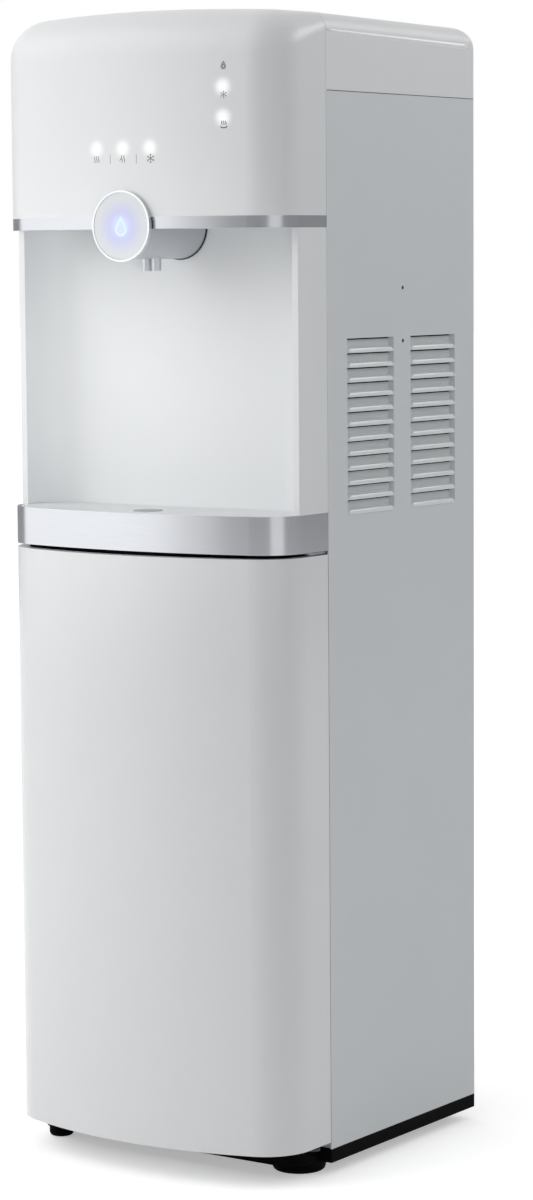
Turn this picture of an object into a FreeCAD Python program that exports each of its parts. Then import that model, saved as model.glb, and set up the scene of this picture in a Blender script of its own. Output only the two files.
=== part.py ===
import FreeCAD, Part
import math
import os
from FreeCAD import Vector as V

# Free-standing water cooler that takes its bottle behind a door at the bottom.
# Millimetres; +Z is up, the front faces -Y, the origin is on the floor under the middle.

# Overall form
width = 322.0
depth = 365.0
height = 1086.0
door_reach = 105.0          # how far the door stands in front of the side panels
door_bow_radius = 390.0     # plan curve of the door's front
door_corner_radius = 48.0   # plan radius of the door's two corners
head_reach = 95.0           # the head, the strip and the tray bar: set back and flatter than the door
head_bow_radius = 600.0
head_corner_radius = 42.0
crown = 5.0                 # rise of the top from its sides to its middle
top_fall = 3.0              # drop of the top cover from front to rear
front_top_round = 40.0
side_top_round = 16.0
rear_top_round = 22.0

# Levels; all above the door hang from the top, so the door takes up a change of height
foot_height = 12.0
base_strip = 13.2
door_bottom = 32.0
bar_height = 35.2
niche_height = 261.2
strip_height = 10.9
head_height = 188.5
cover_height = 75.0         # top cover, above the side panels

# Walls and clearances
gauge = 1.2                 # steel sheet
wall = 3.0                  # moulded plastic
seam_gap = 0.5              # between the front mouldings and the side panels
part_gap = 0.3              # between pieces that move past or lie beside each other
fit_gap = 0.05              # radial, pins and plungers in their holes
door_gap = 3.6              # under the tray bar
door_seam = 1.0             # between the door and the side panels
lug_gap = 1.2               # between the floor of a hinge plate and the door

# Base and feet
base_upstand = 12.8
tongue_reach = 36.0
tongue_inset = 15.0         # from the right side
tongue_left_inset = 1.0     # from the left side
tongue_height = 16.0
tongue_round = 20.0
foot_inset = 41.0           # wide front foot, under the hinge, from the right side
front_foot_y = 6.0          # behind the front edge of the side panels
foot_top_radius = 27.0
foot_bottom_radius = 24.5
foot_round = 4.0
left_foot_inset = 14.0      # small front foot, under the free end of the door, from the left side
left_foot_y = 16.5          # ahead of the front edge of the side panels
left_foot_radius = 12.0
rear_foot_inset = 85.0      # from the sides
rear_foot_setback = 42.0    # from the rear
rear_foot_radius = 16.0
platform_thick = 3.0
platform_edge = 9.0
rim_inset = 22.0            # bottle rim, from the sides
rim_height = 4.0

# Side panels and rear panel
flange = 14.0
flange_setback = 3.0
rear_recess = 24.0
rear_panel_drop = 6.0       # below the top of the side panels
louvre_rows = 12
louvre_pitch = 13.64
louvre_height = 11.2
louvre_depth = 4.5
louvre_drop = 226.6         # first louvre, below the top of the panel
louvre_front = 33.0         # plain panel before, between and behind the two columns
louvre_between = 29.5
louvre_rear = 35.5
louvre_taper = 2.2
louvre_slot = 1.4
louvre_ramp = 3.8
panel_screw_drops = (180.7, 230.8)
screw_radius = 1.6
screw_length = 5.0

# Deck, crossbar and shelf
deck_drop = 1.0             # below the tray bar
crossbar_depth = 18.0
crossbar_height = 20.0
shelf_drop = 102.5          # below the head
shelf_lip = 14.0
pipe_corridor = 29.0        # free depth behind the shelf

# Niche
cheek_reach = 47.0
cheek_thick = 7.0
niche_back = 5.0            # back wall, in front of the side panels
niche_round = 38.0

# Tray
carrier_floor = 3.8
tray_wall = 2.0
grille_thick = 2.5
grille_skirt = 5.0
slot_width = 3.0
slot_pitch = 6.0
slot_rows = 2
splash_radius = 14.0
splash_thick = 0.6
splash_lead = 10.0          # in front of the nozzles

# Spout, button and nozzles
spout_rise = 2.7            # axis, above the niche
spout_radius = 30.25
spout_wall = 2.5
spout_hole_depth = 12.0
bezel_radius = 32.6
bezel_lip = 1.8
bezel_web = 1.0
bezel_hold = 1.2            # lap of the bezel's web over the end of the housing
button_thick = 1.2
button_stroke = 1.2
button_inset = 0.3
plunger_radius = 12.0
plunger_length = 20.6
web_thick = 3.0
switch_width = 20.0
switch_height = 10.0
switch_depth = 9.0
drop_width = 13.0
drop_height = 19.0
drop_stroke = 2.2
drop_thick = 0.5
nozzle_radius = 4.5
nozzle_bore = 3.0
nozzle_spacing = 11.2
nozzle_y = 51.6             # in front of the side panels
nozzle_drop = 41.3          # lower end, below the spout's axis
nozzle_length = 34.0
holder_width = 30.0
holder_depth = 18.0
holder_drop = 13.3          # its top, below the spout's axis

# Head electronics and valves
lens_radius = 2.4
front_lens_x = (-30.4, 0.0, 30.4)
front_lens_rise = 62.5      # above the bottom of the head
side_lens_inset = 55.0      # from the right side
side_lens_rises = (115.5, 88.1)
board_clear = 1.8           # between the board and the bowed wall
board_thick = 1.6
board_left = -60.0
board_inset = 39.0          # from the right side
board_rise = 37.5
board_height = 101.0
boss_radius = 3.5
boss_inset = 6.0
valve_x = 50.0
valve_y = 40.0
valve_body = (22.0, 40.0, 18.0)
coil_radius = 10.0
coil_height = 26.0

# Door
door_skin = 3.0
door_depth = 16.0           # from the outer face to the back of the inner panel
inner_skin = 2.5
hinge_inset = 8.0           # pivot, in from the side face
hinge_reach = 20.0          # pivot, in front of the side panels
pin_radius = 3.0
pin_length = 12.0
lug_thick = 2.0
lug_width = 14.0
magnet_size = (11.0, 2.6, 60.0)
strike_thick = 1.2

# Machine space; shares of the width and of the side panel's depth
compressor_x_share = 0.2236
compressor_y_share = 0.48
compressor_share = 0.18
compressor_round = 26.0
compressor_height = 122.0
plate_shares = (0.435, 0.40)
plate_thick = 3.0
mount_radius = 9.0
mount_height = 14.0
mount_inset = 12.0
hot_x_share = 0.264
hot_y_share = 0.46
hot_share = 0.149
hot_height = 120.0
hot_stand = 48.0
band_thick = 2.8
band_height = 40.0
hot_insulation = 15.0
cold_margin = 7.8           # between the cold tank's jacket and the edges of its shelf
cold_height = 150.0
tank_wall = 1.0
evaporator_thick = 4.0
evaporator_drop = 30.0
cold_insulation = 16.0
lid_thick = 6.0
float_radius = 24.0
float_height = 18.0
stem_radius = 4.0
stem_length = 60.0
stem_stop_radius = 7.0
stem_stop_height = 3.0
pump_size = (36.0, 34.0, 46.0)
hose_radius = 5.0
lance_inset = 14.0          # from the left side
lance_setback = 22.0        # in front of the rear panel
lance_radius = 5.0
lance_bottom = 62.0
lance_drop = 33.2           # top of the tube, below the deck
lance_cap_radius = 9.0
lance_cap_height = 16.0
clip_height = 12.0
clip_side = 8.0

# Rear fittings
tube_radius = 2.4
condenser_runs = 11
condenser_inset = 49.0      # ends of the straight runs, from the sides
condenser_bottom = 128.0
condenser_drop = 72.0       # top run, below the pipe entries
condenser_y = 12.0          # tube axis behind the rear panel
wire_radius = 0.8
wire_pitch = 14.0
wire_overhang = 9.6
bracket_width = 18.0
bracket_x = 70.0
riser_inset = 20.0          # from the sides
riser_rise = 50.8           # pipe entries, above the deck
pipe_bend = 9.0
tight_bend = 6.0
drier_radius = 9.0
drier_height = 84.0
drier_setback = 16.0        # in front of the rear panel
pipe_setback = 17.0
discharge_rise = 86.8       # above the deck
suction_offset = 28.0       # from the compressor's axis
suction_rise = 110.8
suction_entry = 55.0        # above the shelf
capillary_entry = 77.0
capillary_radius = 1.6
fitting_drop = 75.0         # switches and inlet, below the top of the rear panel
switch_plate_size = (64.0, 3.0, 44.0)
switch_plate_x = -70.0
rocker_x = 15.0             # each side of the plate's middle
rocker_size = (13.0, 20.0)
rocker_body_depth = 16.0
rocker_rise = 3.5
inlet_x = 60.0
inlet_size = (30.0, 26.0)
inlet_flange = 5.0
inlet_depth = 18.0
inlet_pin = (2.0, 4.2)
inlet_pin_places = ((0.0, 3.0), (-6.0, -3.0), (6.0, -3.0))
inlet_pin_setback = 4.0
drain_rise = 24.8           # above the floor of the hot tank
drain_radius = 8.0
drain_bore = 5.0
drain_reach = 12.0
cap_radius = 13.0
cap_depth = 11.0
power_board_size = (84.0, 1.6, 70.0)
power_board_x = 60.0
power_board_drop = 155.0    # top of the board, below the top of the rear panel
standoff_radius = 3.0

# Positions worked out from the sizes above
half = width / 2
inner_half = half - gauge
panel_depth = depth - door_reach
seam_y = door_reach - depth / 2
rear_y = depth / 2
rear_panel_y = rear_y - rear_recess
head_front = seam_y - head_reach
door_curve = (door_reach, door_bow_radius, door_corner_radius)
head_curve = (head_reach, head_bow_radius, head_corner_radius)

base_top = foot_height + base_strip
upstand_top = base_top + base_upstand
platform_top = upstand_top + platform_thick
tongue_top = foot_height + tongue_height
head_bottom = height - head_height
strip_bottom = head_bottom - strip_height
bar_top = strip_bottom - niche_height
bar_bottom = bar_top - bar_height
door_top = bar_bottom - door_gap
panel_top = height - cover_height
rear_panel_top = panel_top - rear_panel_drop
shelf_level = head_bottom - shelf_drop

tongue_half = half - tongue_inset
foot_x = half - foot_inset
left_foot_x = left_foot_inset - half
rear_foot_x = half - rear_foot_inset
rim_radius = half - rim_inset
louvre_length = (panel_depth - louvre_front - louvre_between - louvre_rear) / 2
louvre_starts = (louvre_front, louvre_front + louvre_length + louvre_between)
deck_top = bar_bottom - deck_drop
crossbar_y = seam_y + flange_setback
crossbar_top = door_top + lug_gap - part_gap
deck_front = crossbar_y + crossbar_depth
shelf_front = crossbar_y + 2 * gauge
shelf_rear = rear_panel_y - gauge - pipe_corridor
hinge_x = half - hinge_inset
hinge_y = seam_y - hinge_reach
magnet_z = (door_bottom + door_top) / 2

spout_z = strip_bottom + spout_rise
nozzle_bottom = spout_z - nozzle_drop
nozzle_top = nozzle_bottom + nozzle_length
bezel_bore = bezel_radius - bezel_lip
bezel_back = head_front - part_gap
button_front = bezel_back - bezel_web - part_gap - button_stroke - button_thick
bezel_front = button_front - button_inset
side_lens_x = half - side_lens_inset
board_right = half - board_inset
board_bottom = head_bottom + board_rise
board_top = board_bottom + board_height

compressor_x = -compressor_x_share * width
compressor_y = seam_y + compressor_y_share * panel_depth
compressor_radius = compressor_share * width
compressor_plate = (plate_shares[0] * width, plate_shares[1] * panel_depth, plate_thick)
hot_x = hot_x_share * width
hot_y = seam_y + hot_y_share * panel_depth
hot_radius = hot_share * width
hot_floor = deck_top + hot_stand
drain_z = hot_floor + drain_rise
cold_y = (shelf_front + shelf_rear) / 2
cold_outer = (shelf_rear - shelf_front) / 2 - cold_margin
cold_radius = cold_outer - cold_insulation - part_gap - evaporator_thick
cold_floor = shelf_level + gauge
tank_floor = cold_floor + cold_insulation
tank_top = tank_floor + cold_height
lance_x = lance_inset - half
lance_y = rear_panel_y - lance_setback
lance_top = deck_top - lance_drop
clip_level = (lance_bottom + lance_top) / 2

riser_x = half - riser_inset
riser_level = deck_top + riser_rise
condenser_half = half - condenser_inset
condenser_top = riser_level - condenser_drop
condenser_pitch = (condenser_top - condenser_bottom) / (condenser_runs - 1)
tube_y = rear_panel_y + condenser_y
pipe_y = rear_panel_y - pipe_setback
drier_y = rear_panel_y - drier_setback
drier_floor = riser_level + 2 * pipe_bend
discharge_level = deck_top + discharge_rise
suction_x = compressor_x + suction_offset
suction_level = deck_top + suction_rise
suction_top = shelf_level + suction_entry
capillary_x = cold_outer - 2 * cold_insulation
capillary_level = shelf_level + capillary_entry
switch_plate_z = rear_panel_top - fitting_drop
inlet_z = rear_panel_top - fitting_drop
power_board_z = rear_panel_top - power_board_drop


def box(x0, x1, y0, y1, z0, z1):
    return Part.makeBox(x1 - x0, y1 - y0, z1 - z0, V(x0, y0, z0))


def centred_box(size, x, y, z0):
    return box(x - size[0] / 2, x + size[0] / 2, y - size[1] / 2, y + size[1] / 2, z0, z0 + size[2])


def upright(radius, x, y, z0, z1):
    return Part.makeCylinder(radius, z1 - z0, V(x, y, z0))


def lying(radius, x, z, y0, y1):
    return Part.makeCylinder(radius, y1 - y0, V(x, y0, z), V(0, 1, 0))


def both_sides(shape):
    return Part.makeCompound([shape, shape.mirror(V(0, 0, 0), V(1, 0, 0))])


def fuse_all(shapes):
    return shapes[0].multiFuse(shapes[1:]).removeSplitter()


def front_plan(curve, inset, back_y, z0, z1):
    """Prism of a bowed front with its two round corners, drawn in by inset."""
    reach, bow_radius, corner_radius = curve
    side = half - inset
    corner = corner_radius - inset
    bow = bow_radius - inset
    front = seam_y - reach + inset
    bow_y = front + bow
    corner_x = side - corner
    corner_y = bow_y - math.sqrt((bow - corner) ** 2 - corner_x ** 2)
    share = bow / (bow - corner)
    meet_x = corner_x * share
    meet_y = bow_y + (corner_y - bow_y) * share
    turn = math.atan2(meet_y - corner_y, meet_x - corner_x) / 2
    mid_x = corner_x + corner * math.cos(turn)
    mid_y = corner_y + corner * math.sin(turn)
    edges = [
        Part.makeLine(V(-side, back_y, z0), V(-side, corner_y, z0)),
        Part.Arc(V(-side, corner_y, z0), V(-mid_x, mid_y, z0), V(-meet_x, meet_y, z0)).toShape(),
        Part.Arc(V(-meet_x, meet_y, z0), V(0, front, z0), V(meet_x, meet_y, z0)).toShape(),
        Part.Arc(V(meet_x, meet_y, z0), V(mid_x, mid_y, z0), V(side, corner_y, z0)).toShape(),
        Part.makeLine(V(side, corner_y, z0), V(side, back_y, z0)),
        Part.makeLine(V(side, back_y, z0), V(-side, back_y, z0)),
    ]
    return Part.Face(Part.Wire(edges)).extrude(V(0, 0, z1 - z0))


def front_band(curve, thick, back_y, z0, z1):
    """Wall of even thickness that follows the bowed front."""
    return front_plan(curve, 0, back_y, z0, z1).cut(front_plan(curve, thick, back_y + thick, z0, z1))


def crowned_slab(inset, y0, y1, z0, fall):
    """Slab wider than the cooler, crowned across its width and falling towards the rear."""
    crown_radius = (half ** 2 + crown ** 2) / (2 * crown)
    top = height - inset
    shoulder = top - crown_radius + math.sqrt(crown_radius ** 2 - width ** 2)
    outline = Part.Wire([
        Part.makeLine(V(-width, y0, z0), V(-width, y0, shoulder)),
        Part.Arc(V(-width, y0, shoulder), V(0, y0, top), V(width, y0, shoulder)).toShape(),
        Part.makeLine(V(width, y0, shoulder), V(width, y0, z0)),
        Part.makeLine(V(width, y0, z0), V(-width, y0, z0)),
    ])
    return Part.Face(outline).extrude(V(0, y1 - y0, -fall))


def round_edges(shape, radius_of):
    """Rounds each edge that radius_of gives two radii, in the order in which the edges follow each other."""
    document = FreeCAD.newDocument("rounding")
    source = document.addObject("Part::Feature", "source")
    source.Shape = shape
    rounding = document.addObject("Part::Fillet", "rounding")
    rounding.Base = source
    rounds = []
    for number, edge in enumerate(shape.Edges, 1):
        radii = radius_of(edge)
        if radii:
            rounds.append((number, radii[0], radii[1]))
    rounding.Edges = rounds
    document.recompute()
    rounded = rounding.Shape.copy()
    FreeCAD.closeDocument(document.Name)
    return rounded


def bent_tube(points, radius, bend):
    """Tube along straight runs joined by tangent arcs."""
    edges = []
    start = points[0]
    for before, corner, after in zip(points, points[1:], points[2:]):
        to_before = (before - corner).normalize()
        to_after = (after - corner).normalize()
        half_turn = to_before.getAngle(to_after) / 2
        back = bend / math.tan(half_turn)
        arc_start = corner + to_before * back
        arc_end = corner + to_after * back
        bisector = (to_before + to_after).normalize()
        middle = corner + bisector * (bend / math.sin(half_turn) - bend)
        edges.append(Part.makeLine(start, arc_start))
        edges.append(Part.Arc(arc_start, middle, arc_end).toShape())
        start = arc_end
    edges.append(Part.makeLine(start, points[-1]))
    path = Part.Wire(edges)
    section = Part.Wire([Part.makeCircle(radius, points[0], points[1] - points[0])])
    return path.makePipeShell([section], True, False)


def base_plinth():
    strip = box(-half, half, seam_y, rear_y, foot_height, base_top)
    upstand = box(-inner_half, inner_half, deck_front, rear_y, base_top, upstand_top)
    tongue = box(tongue_left_inset - half, tongue_half, seam_y - tongue_reach, seam_y, foot_height, tongue_top)
    uprights = [edge for edge in tongue.Edges if edge.BoundBox.ZLength > part_gap]
    corners = [edge for edge in uprights if edge.BoundBox.YMax < seam_y - part_gap]
    tongue = tongue.makeFillet(tongue_round, corners)
    pocket_x = foot_x - foot_top_radius - wall
    pocket_front = deck_front + wall
    pocket_rear = rear_y - 2 * wall
    pocket_middle = (pocket_front + pocket_rear) / 2
    pockets = []
    for y0, y1 in ((pocket_front, pocket_middle - wall / 2), (pocket_middle + wall / 2, pocket_rear)):
        pockets.append(both_sides(box(wall / 2, pocket_x, y0, y1, foot_height, upstand_top - wall)))
    return fuse_all([strip, upstand, tongue]).cut(Part.makeCompound(pockets))


def feet():
    wide_place = V(foot_x, seam_y + front_foot_y, 0)
    wide = Part.makeCone(foot_bottom_radius, foot_top_radius, foot_height, wide_place)
    small = upright(left_foot_radius, left_foot_x, seam_y - left_foot_y, 0, foot_height)
    rear_place_y = rear_y - rear_foot_setback
    rear_pair = [upright(rear_foot_radius, side * rear_foot_x, rear_place_y, 0, foot_height) for side in (-1, 1)]
    rounded = []
    for foot in [wide, small] + rear_pair:
        lower_edge = min(foot.Edges, key=lambda edge: edge.BoundBox.ZMax)
        rounded.append(foot.makeFillet(foot_round, [lower_edge]))
    return Part.makeCompound(rounded)


def bottle_platform():
    edge_x = inner_half - platform_edge
    front_y = deck_front + platform_edge
    back_y = rear_panel_y - platform_edge
    plate = box(-edge_x, edge_x, front_y, back_y, upstand_top, platform_top)
    centre_y = (front_y + back_y) / 2
    rim = upright(rim_radius + wall, 0, centre_y, platform_top, platform_top + rim_height)
    rim = rim.cut(upright(rim_radius, 0, centre_y, platform_top, platform_top + rim_height))
    rim = rim.common(box(-edge_x, edge_x, front_y, back_y, platform_top, platform_top + rim_height))
    return fuse_all([plate, rim])


def louvre_frustum(y, z, inset, depth_in):
    """Pressed pocket: wide at the panel face, narrower inside, its ramp at the bottom."""
    face_x = half
    back_x = half - depth_in

    def outline(x, y0, y1, z0, z1):
        return Part.makePolygon([V(x, y0, z0), V(x, y1, z0), V(x, y1, z1), V(x, y0, z1), V(x, y0, z0)])

    mouth = outline(face_x, y - inset, y + louvre_length + inset, z - louvre_height - inset, z)
    inner = outline(back_x, y + louvre_taper - inset, y + louvre_length - louvre_taper + inset,
                    z - louvre_height + louvre_ramp - inset, z)
    return Part.makeLoft([mouth, inner], True, True)


def right_side_panel():
    skin = box(inner_half, half, seam_y, rear_y, base_top, panel_top)
    front_lip = box(half - flange, inner_half, crossbar_y, crossbar_y + gauge, base_top, panel_top)
    notch = box(half - flange, inner_half, crossbar_y, crossbar_y + gauge,
                crossbar_top - crossbar_height - part_gap, bar_bottom)
    panel = fuse_all([skin, front_lip.cut(notch)])
    hollows = []
    presses = []
    for start in louvre_starts:
        for row in range(louvre_rows):
            y = seam_y + start
            z = panel_top - louvre_drop - row * louvre_pitch
            hollow = louvre_frustum(y, z, 0, louvre_depth)
            slot = box(half - louvre_depth - gauge, half, y + louvre_taper, y + louvre_length - louvre_taper,
                       z - louvre_slot, z + gauge)
            slot = slot.common(box(0, inner_half, seam_y, rear_y, z - louvre_slot, z))
            presses.append(louvre_frustum(y, z, gauge, louvre_depth + gauge))
            hollows.append(hollow)
            hollows.append(slot)
    panel = panel.multiFuse(presses)
    panel = panel.cut(Part.makeCompound(hollows))
    return panel.cut(panel_screw_row(part_gap))


def panel_screw_row(gap):
    """Flush screws through the right panel, or with a gap their holes."""
    screws = []
    for drop in panel_screw_drops:
        start = V(half - screw_length, seam_y + panel_depth / 2, panel_top - drop)
        screws.append(Part.makeCylinder(screw_radius + gap, screw_length, start, V(1, 0, 0)))
    return Part.makeCompound(screws)


def panel_screws():
    return both_sides(panel_screw_row(0))


def rear_panel():
    outer = box(-inner_half, inner_half, rear_panel_y - gauge, rear_y, upstand_top, rear_panel_top)
    pan = outer.cut(box(-inner_half + gauge, inner_half - gauge, rear_panel_y, rear_y,
                        upstand_top, rear_panel_top - gauge))
    openings = [switch_window(-1, part_gap), switch_window(1, part_gap), inlet_body(part_gap)]
    openings.append(lying(drain_radius + part_gap, hot_x, drain_z, rear_panel_y - gauge, rear_panel_y))
    for x in (-riser_x, riser_x):
        openings.append(lying(tube_radius + part_gap, x, riser_level, rear_panel_y - gauge, rear_panel_y))
    return pan.cut(Part.makeCompound(openings))


def front_crossbar():
    bottom = crossbar_top - crossbar_height
    angle = box(-inner_half, inner_half, crossbar_y, deck_front, bottom, crossbar_top)
    inside = box(-inner_half, inner_half, crossbar_y + gauge, deck_front, bottom, crossbar_top - gauge)
    return angle.cut(inside)


def mid_deck():
    back_y = rear_panel_y - gauge
    sheet = box(-inner_half, inner_half, deck_front, back_y, deck_top - gauge, deck_top)
    lip = box(inner_half - gauge, inner_half, deck_front, back_y, deck_top - shelf_lip, deck_top - gauge)
    hose_hole = upright(hose_radius + part_gap, lance_x, lance_y, deck_top - gauge, deck_top)
    return fuse_all([sheet, lip, lip.mirror(V(0, 0, 0), V(1, 0, 0))]).cut(hose_hole)


def tank_shelf():
    sheet = box(-inner_half, inner_half, shelf_front, shelf_rear, shelf_level, cold_floor)
    lip = box(inner_half - gauge, inner_half, shelf_front, shelf_rear, cold_floor, cold_floor + shelf_lip)
    return fuse_all([sheet, lip, lip.mirror(V(0, 0, 0), V(1, 0, 0))])


def niche_liner():
    back_y = seam_y - seam_gap
    lower = front_plan(head_curve, 0, back_y, bar_top, strip_bottom)
    lower = lower.common(box(-half, half, seam_y - cheek_reach, back_y, bar_top, strip_bottom))
    ceiling = front_plan(head_curve, wall + part_gap, back_y, strip_bottom, strip_bottom + wall)
    liner = fuse_all([lower.cut(niche_hollow(0, bar_top, strip_bottom)), ceiling])
    return liner.cut(lying(spout_radius + part_gap, 0, spout_z, head_front, seam_y - niche_back))


def head_trim_strip():
    band = front_band(head_curve, wall, seam_y - seam_gap, strip_bottom, head_bottom)
    return band.cut(spout_hole())


def spout_hole():
    return lying(spout_radius + part_gap, 0, spout_z, head_front - wall, head_front + spout_hole_depth)


def tray_trim():
    return front_band(head_curve, wall, seam_y - seam_gap, bar_bottom, bar_top)


def head_form(inset):
    back_y = seam_y - seam_gap
    plan = front_plan(head_curve, inset, back_y, head_bottom, 2 * height)
    form = plan.common(crowned_slab(inset, head_front - depth, seam_y, bar_top, 0))

    def around(point):
        return -math.atan2(back_y - point.y, point.x)

    def radii(edge):
        bounds = edge.BoundBox
        if bounds.ZMin < panel_top or bounds.YLength < part_gap:
            return None
        ends = sorted((edge.valueAt(edge.FirstParameter), edge.valueAt(edge.LastParameter)), key=around)
        return [edge_round(point, back_y) - inset for point in ends]

    return round_edges(form, radii)


def edge_round(point, back_y):
    """Rounding along the head's top edge: full at the front, tighter where it meets the top cover."""
    if point.y > back_y - part_gap:
        return side_top_round
    if abs(point.x) > half - head_corner_radius / 4:
        return (side_top_round + front_top_round) / 2
    return front_top_round


def head_cover():
    outer = head_form(0)
    shell = outer.cut(head_form(wall))
    bosses = []
    for x in (board_left + boss_inset, board_right - boss_inset):
        for z in (board_bottom + boss_inset, board_top - boss_inset):
            bosses.append(lying(boss_radius, x, z, head_front, board_front()).common(outer))
    shell = fuse_all([shell] + bosses)
    holes = [spout_hole()]
    for x, z in lens_places():
        holes.append(lying(lens_radius + fit_gap, x, z, head_front, board_front()))
    return shell.cut(Part.makeCompound(holes))


def lens_places():
    front = [(x, head_bottom + front_lens_rise) for x in front_lens_x]
    return front + [(side_lens_x, head_bottom + rise) for rise in side_lens_rises]


def indicator_lenses():
    outer = head_form(0)
    rods = [lying(lens_radius, x, z, head_front, board_front()).common(outer) for x, z in lens_places()]
    return Part.makeCompound(rods)


def bow_sag(x):
    """How far the head's bowed front falls back at a distance x from the middle."""
    return head_bow_radius - math.sqrt(head_bow_radius ** 2 - x ** 2)


def board_front():
    return head_front + bow_sag(board_right) + wall + board_clear


def control_board():
    return box(board_left, board_right, board_front(), board_front() + board_thick, board_bottom, board_top)


def top_form(inset):
    side = half - inset
    form = box(-side, side, seam_y, rear_y - inset, panel_top, 2 * height)
    form = form.common(crowned_slab(inset, seam_y, rear_y, bar_top, top_fall))

    def radii(edge):
        bounds = edge.BoundBox
        if bounds.ZMin < panel_top + part_gap or bounds.YMax < seam_y + part_gap:
            return None
        along_side = bounds.YLength > part_gap
        return [(side_top_round if along_side else rear_top_round) - inset] * 2

    return round_edges(form, radii)


def top_cover():
    return top_form(0).cut(top_form(wall))


def niche_hollow(inset, z0, z1):
    """Plan of the niche, drawn in by inset: straight cheeks, flat back, two round corners, open front."""
    side = half - cheek_thick - inset
    hollow = box(-side, side, head_front - depth, seam_y - niche_back - inset, z0, z1)
    corners = [e for e in hollow.Edges if e.BoundBox.ZLength > part_gap and e.BoundBox.YMin > head_front]
    return hollow.makeFillet(niche_round - inset, corners)


def well_inset():
    return 2 * wall + part_gap


def tray_outline(inset, z0, z1):
    """Plan of the drip tray and its well: the bowed front, closed by the niche's plan so it lifts out."""
    return front_plan(head_curve, inset, seam_y, z0, z1).common(niche_hollow(inset - well_inset(), z0, z1))


def tray_carrier():
    block = front_plan(head_curve, wall + part_gap, seam_y - seam_gap, bar_bottom, bar_top)
    return block.cut(tray_outline(well_inset(), bar_bottom + carrier_floor, bar_top))


def tray_inset():
    return well_inset() + 2 * part_gap


def drip_tray():
    # the floor and the walls are two solids that meet, so the walls' collision stays out of the well
    bottom = bar_bottom + carrier_floor + part_gap
    floor_top = bottom + tray_wall
    rim = bar_top - grille_thick - part_gap
    floor = tray_outline(tray_inset(), bottom, floor_top)
    walls = tray_outline(tray_inset(), floor_top, rim)
    walls = walls.cut(tray_outline(tray_inset() + tray_wall, floor_top, rim))
    return Part.makeCompound([floor, walls])


def drip_grille():
    plate = tray_outline(tray_inset(), bar_top - grille_thick, bar_top)
    skirt_inset = tray_inset() + tray_wall + part_gap
    skirt_bottom = bar_top - grille_thick - grille_skirt
    skirt = tray_outline(skirt_inset, skirt_bottom, bar_top - grille_thick)
    skirt = skirt.cut(tray_outline(skirt_inset + tray_wall, skirt_bottom, bar_top - grille_thick))
    slots = []
    field = half - cheek_thick - niche_round / 2
    count = int(field / slot_pitch)
    front = head_front + bow_sag(field) + head_corner_radius / 2
    back = seam_y - niche_back - niche_round / 2
    row_length = (back - front) / slot_rows - slot_pitch
    for step in range(-count, count + 1):
        for row in range(slot_rows):
            y0 = front + row * (row_length + slot_pitch)
            x = step * slot_pitch
            slot = (slot_width, row_length, grille_thick)
            slots.append(centred_box(slot, x, y0 + row_length / 2, bar_top - grille_thick))
    return fuse_all([plate, skirt]).cut(Part.makeCompound(slots))


def splash_disc():
    return upright(splash_radius, 0, seam_y - nozzle_y - splash_lead, bar_top, bar_top + splash_thick)


def door_outer(inset, back_y, z0, z1):
    return front_plan(door_curve, inset, back_y, z0, z1)


def hinge_bore():
    return upright(pin_radius + fit_gap, hinge_x, hinge_y, door_bottom, door_top)


def door_panel():
    back_y = seam_y - door_seam
    skin = door_outer(0, back_y, door_bottom, door_top)
    skin = skin.cut(door_outer(door_skin, seam_y, door_bottom, door_top))
    edge = door_outer(0, back_y, door_bottom, door_bottom + door_skin)
    edge = edge.cut(door_outer(door_depth, seam_y, door_bottom, door_top))
    top_edge = edge.copy()
    top_edge.translate(V(0, 0, door_top - door_bottom - door_skin))
    return fuse_all([skin, edge, top_edge]).cut(hinge_bore())


def door_inner_panel():
    back_y = seam_y - door_seam - strike_thick
    z0 = door_bottom + door_skin
    z1 = door_top - door_skin
    band = door_outer(door_depth - inner_skin, back_y, z0, z1).cut(door_outer(door_depth, seam_y, z0, z1))
    end = door_outer(door_skin, back_y, z0, z1).cut(door_outer(door_depth - inner_skin, seam_y, z0, z1))
    end = end.common(box(-half, half, back_y - inner_skin, back_y, z0, z1))
    return fuse_all([band, end])


def door_strike():
    plate = (magnet_size[0], strike_thick, magnet_size[2])
    middle = -half + door_skin + (door_depth - door_skin) / 2
    return centred_box(plate, middle, seam_y - door_seam - strike_thick / 2, magnet_z)


def magnet_catch():
    middle = -half + door_skin + (door_depth - door_skin) / 2
    return centred_box(magnet_size, middle, crossbar_y - magnet_size[1] / 2, magnet_z)


def hinge_pivot(z0, z1):
    return upright(pin_radius, hinge_x, hinge_y, z0, z1)


def upper_hinge():
    bottom = crossbar_top
    top = bottom + lug_thick
    side_x = min(hinge_x + lug_width / 2 - gauge, inner_half - part_gap)
    plate = box(hinge_x - lug_width / 2, side_x, hinge_y, deck_front, bottom, top)
    eye = upright(lug_width / 2, hinge_x, hinge_y, bottom, top)
    eye = eye.common(box(0, inner_half - part_gap, hinge_y - lug_width, deck_front, bottom, top))
    return fuse_all([plate, eye, hinge_pivot(door_top - pin_length, bottom)])


def lower_hinge():
    bottom = tongue_top
    plate = box(tongue_half - 2 * lug_width, hinge_x, hinge_y - lug_width / 2, hinge_y + lug_width / 2,
                bottom, bottom + lug_thick)
    eye = upright(lug_width / 2, hinge_x, hinge_y, bottom, bottom + lug_thick)
    return fuse_all([plate, eye, hinge_pivot(bottom, door_bottom + pin_length)])


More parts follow.
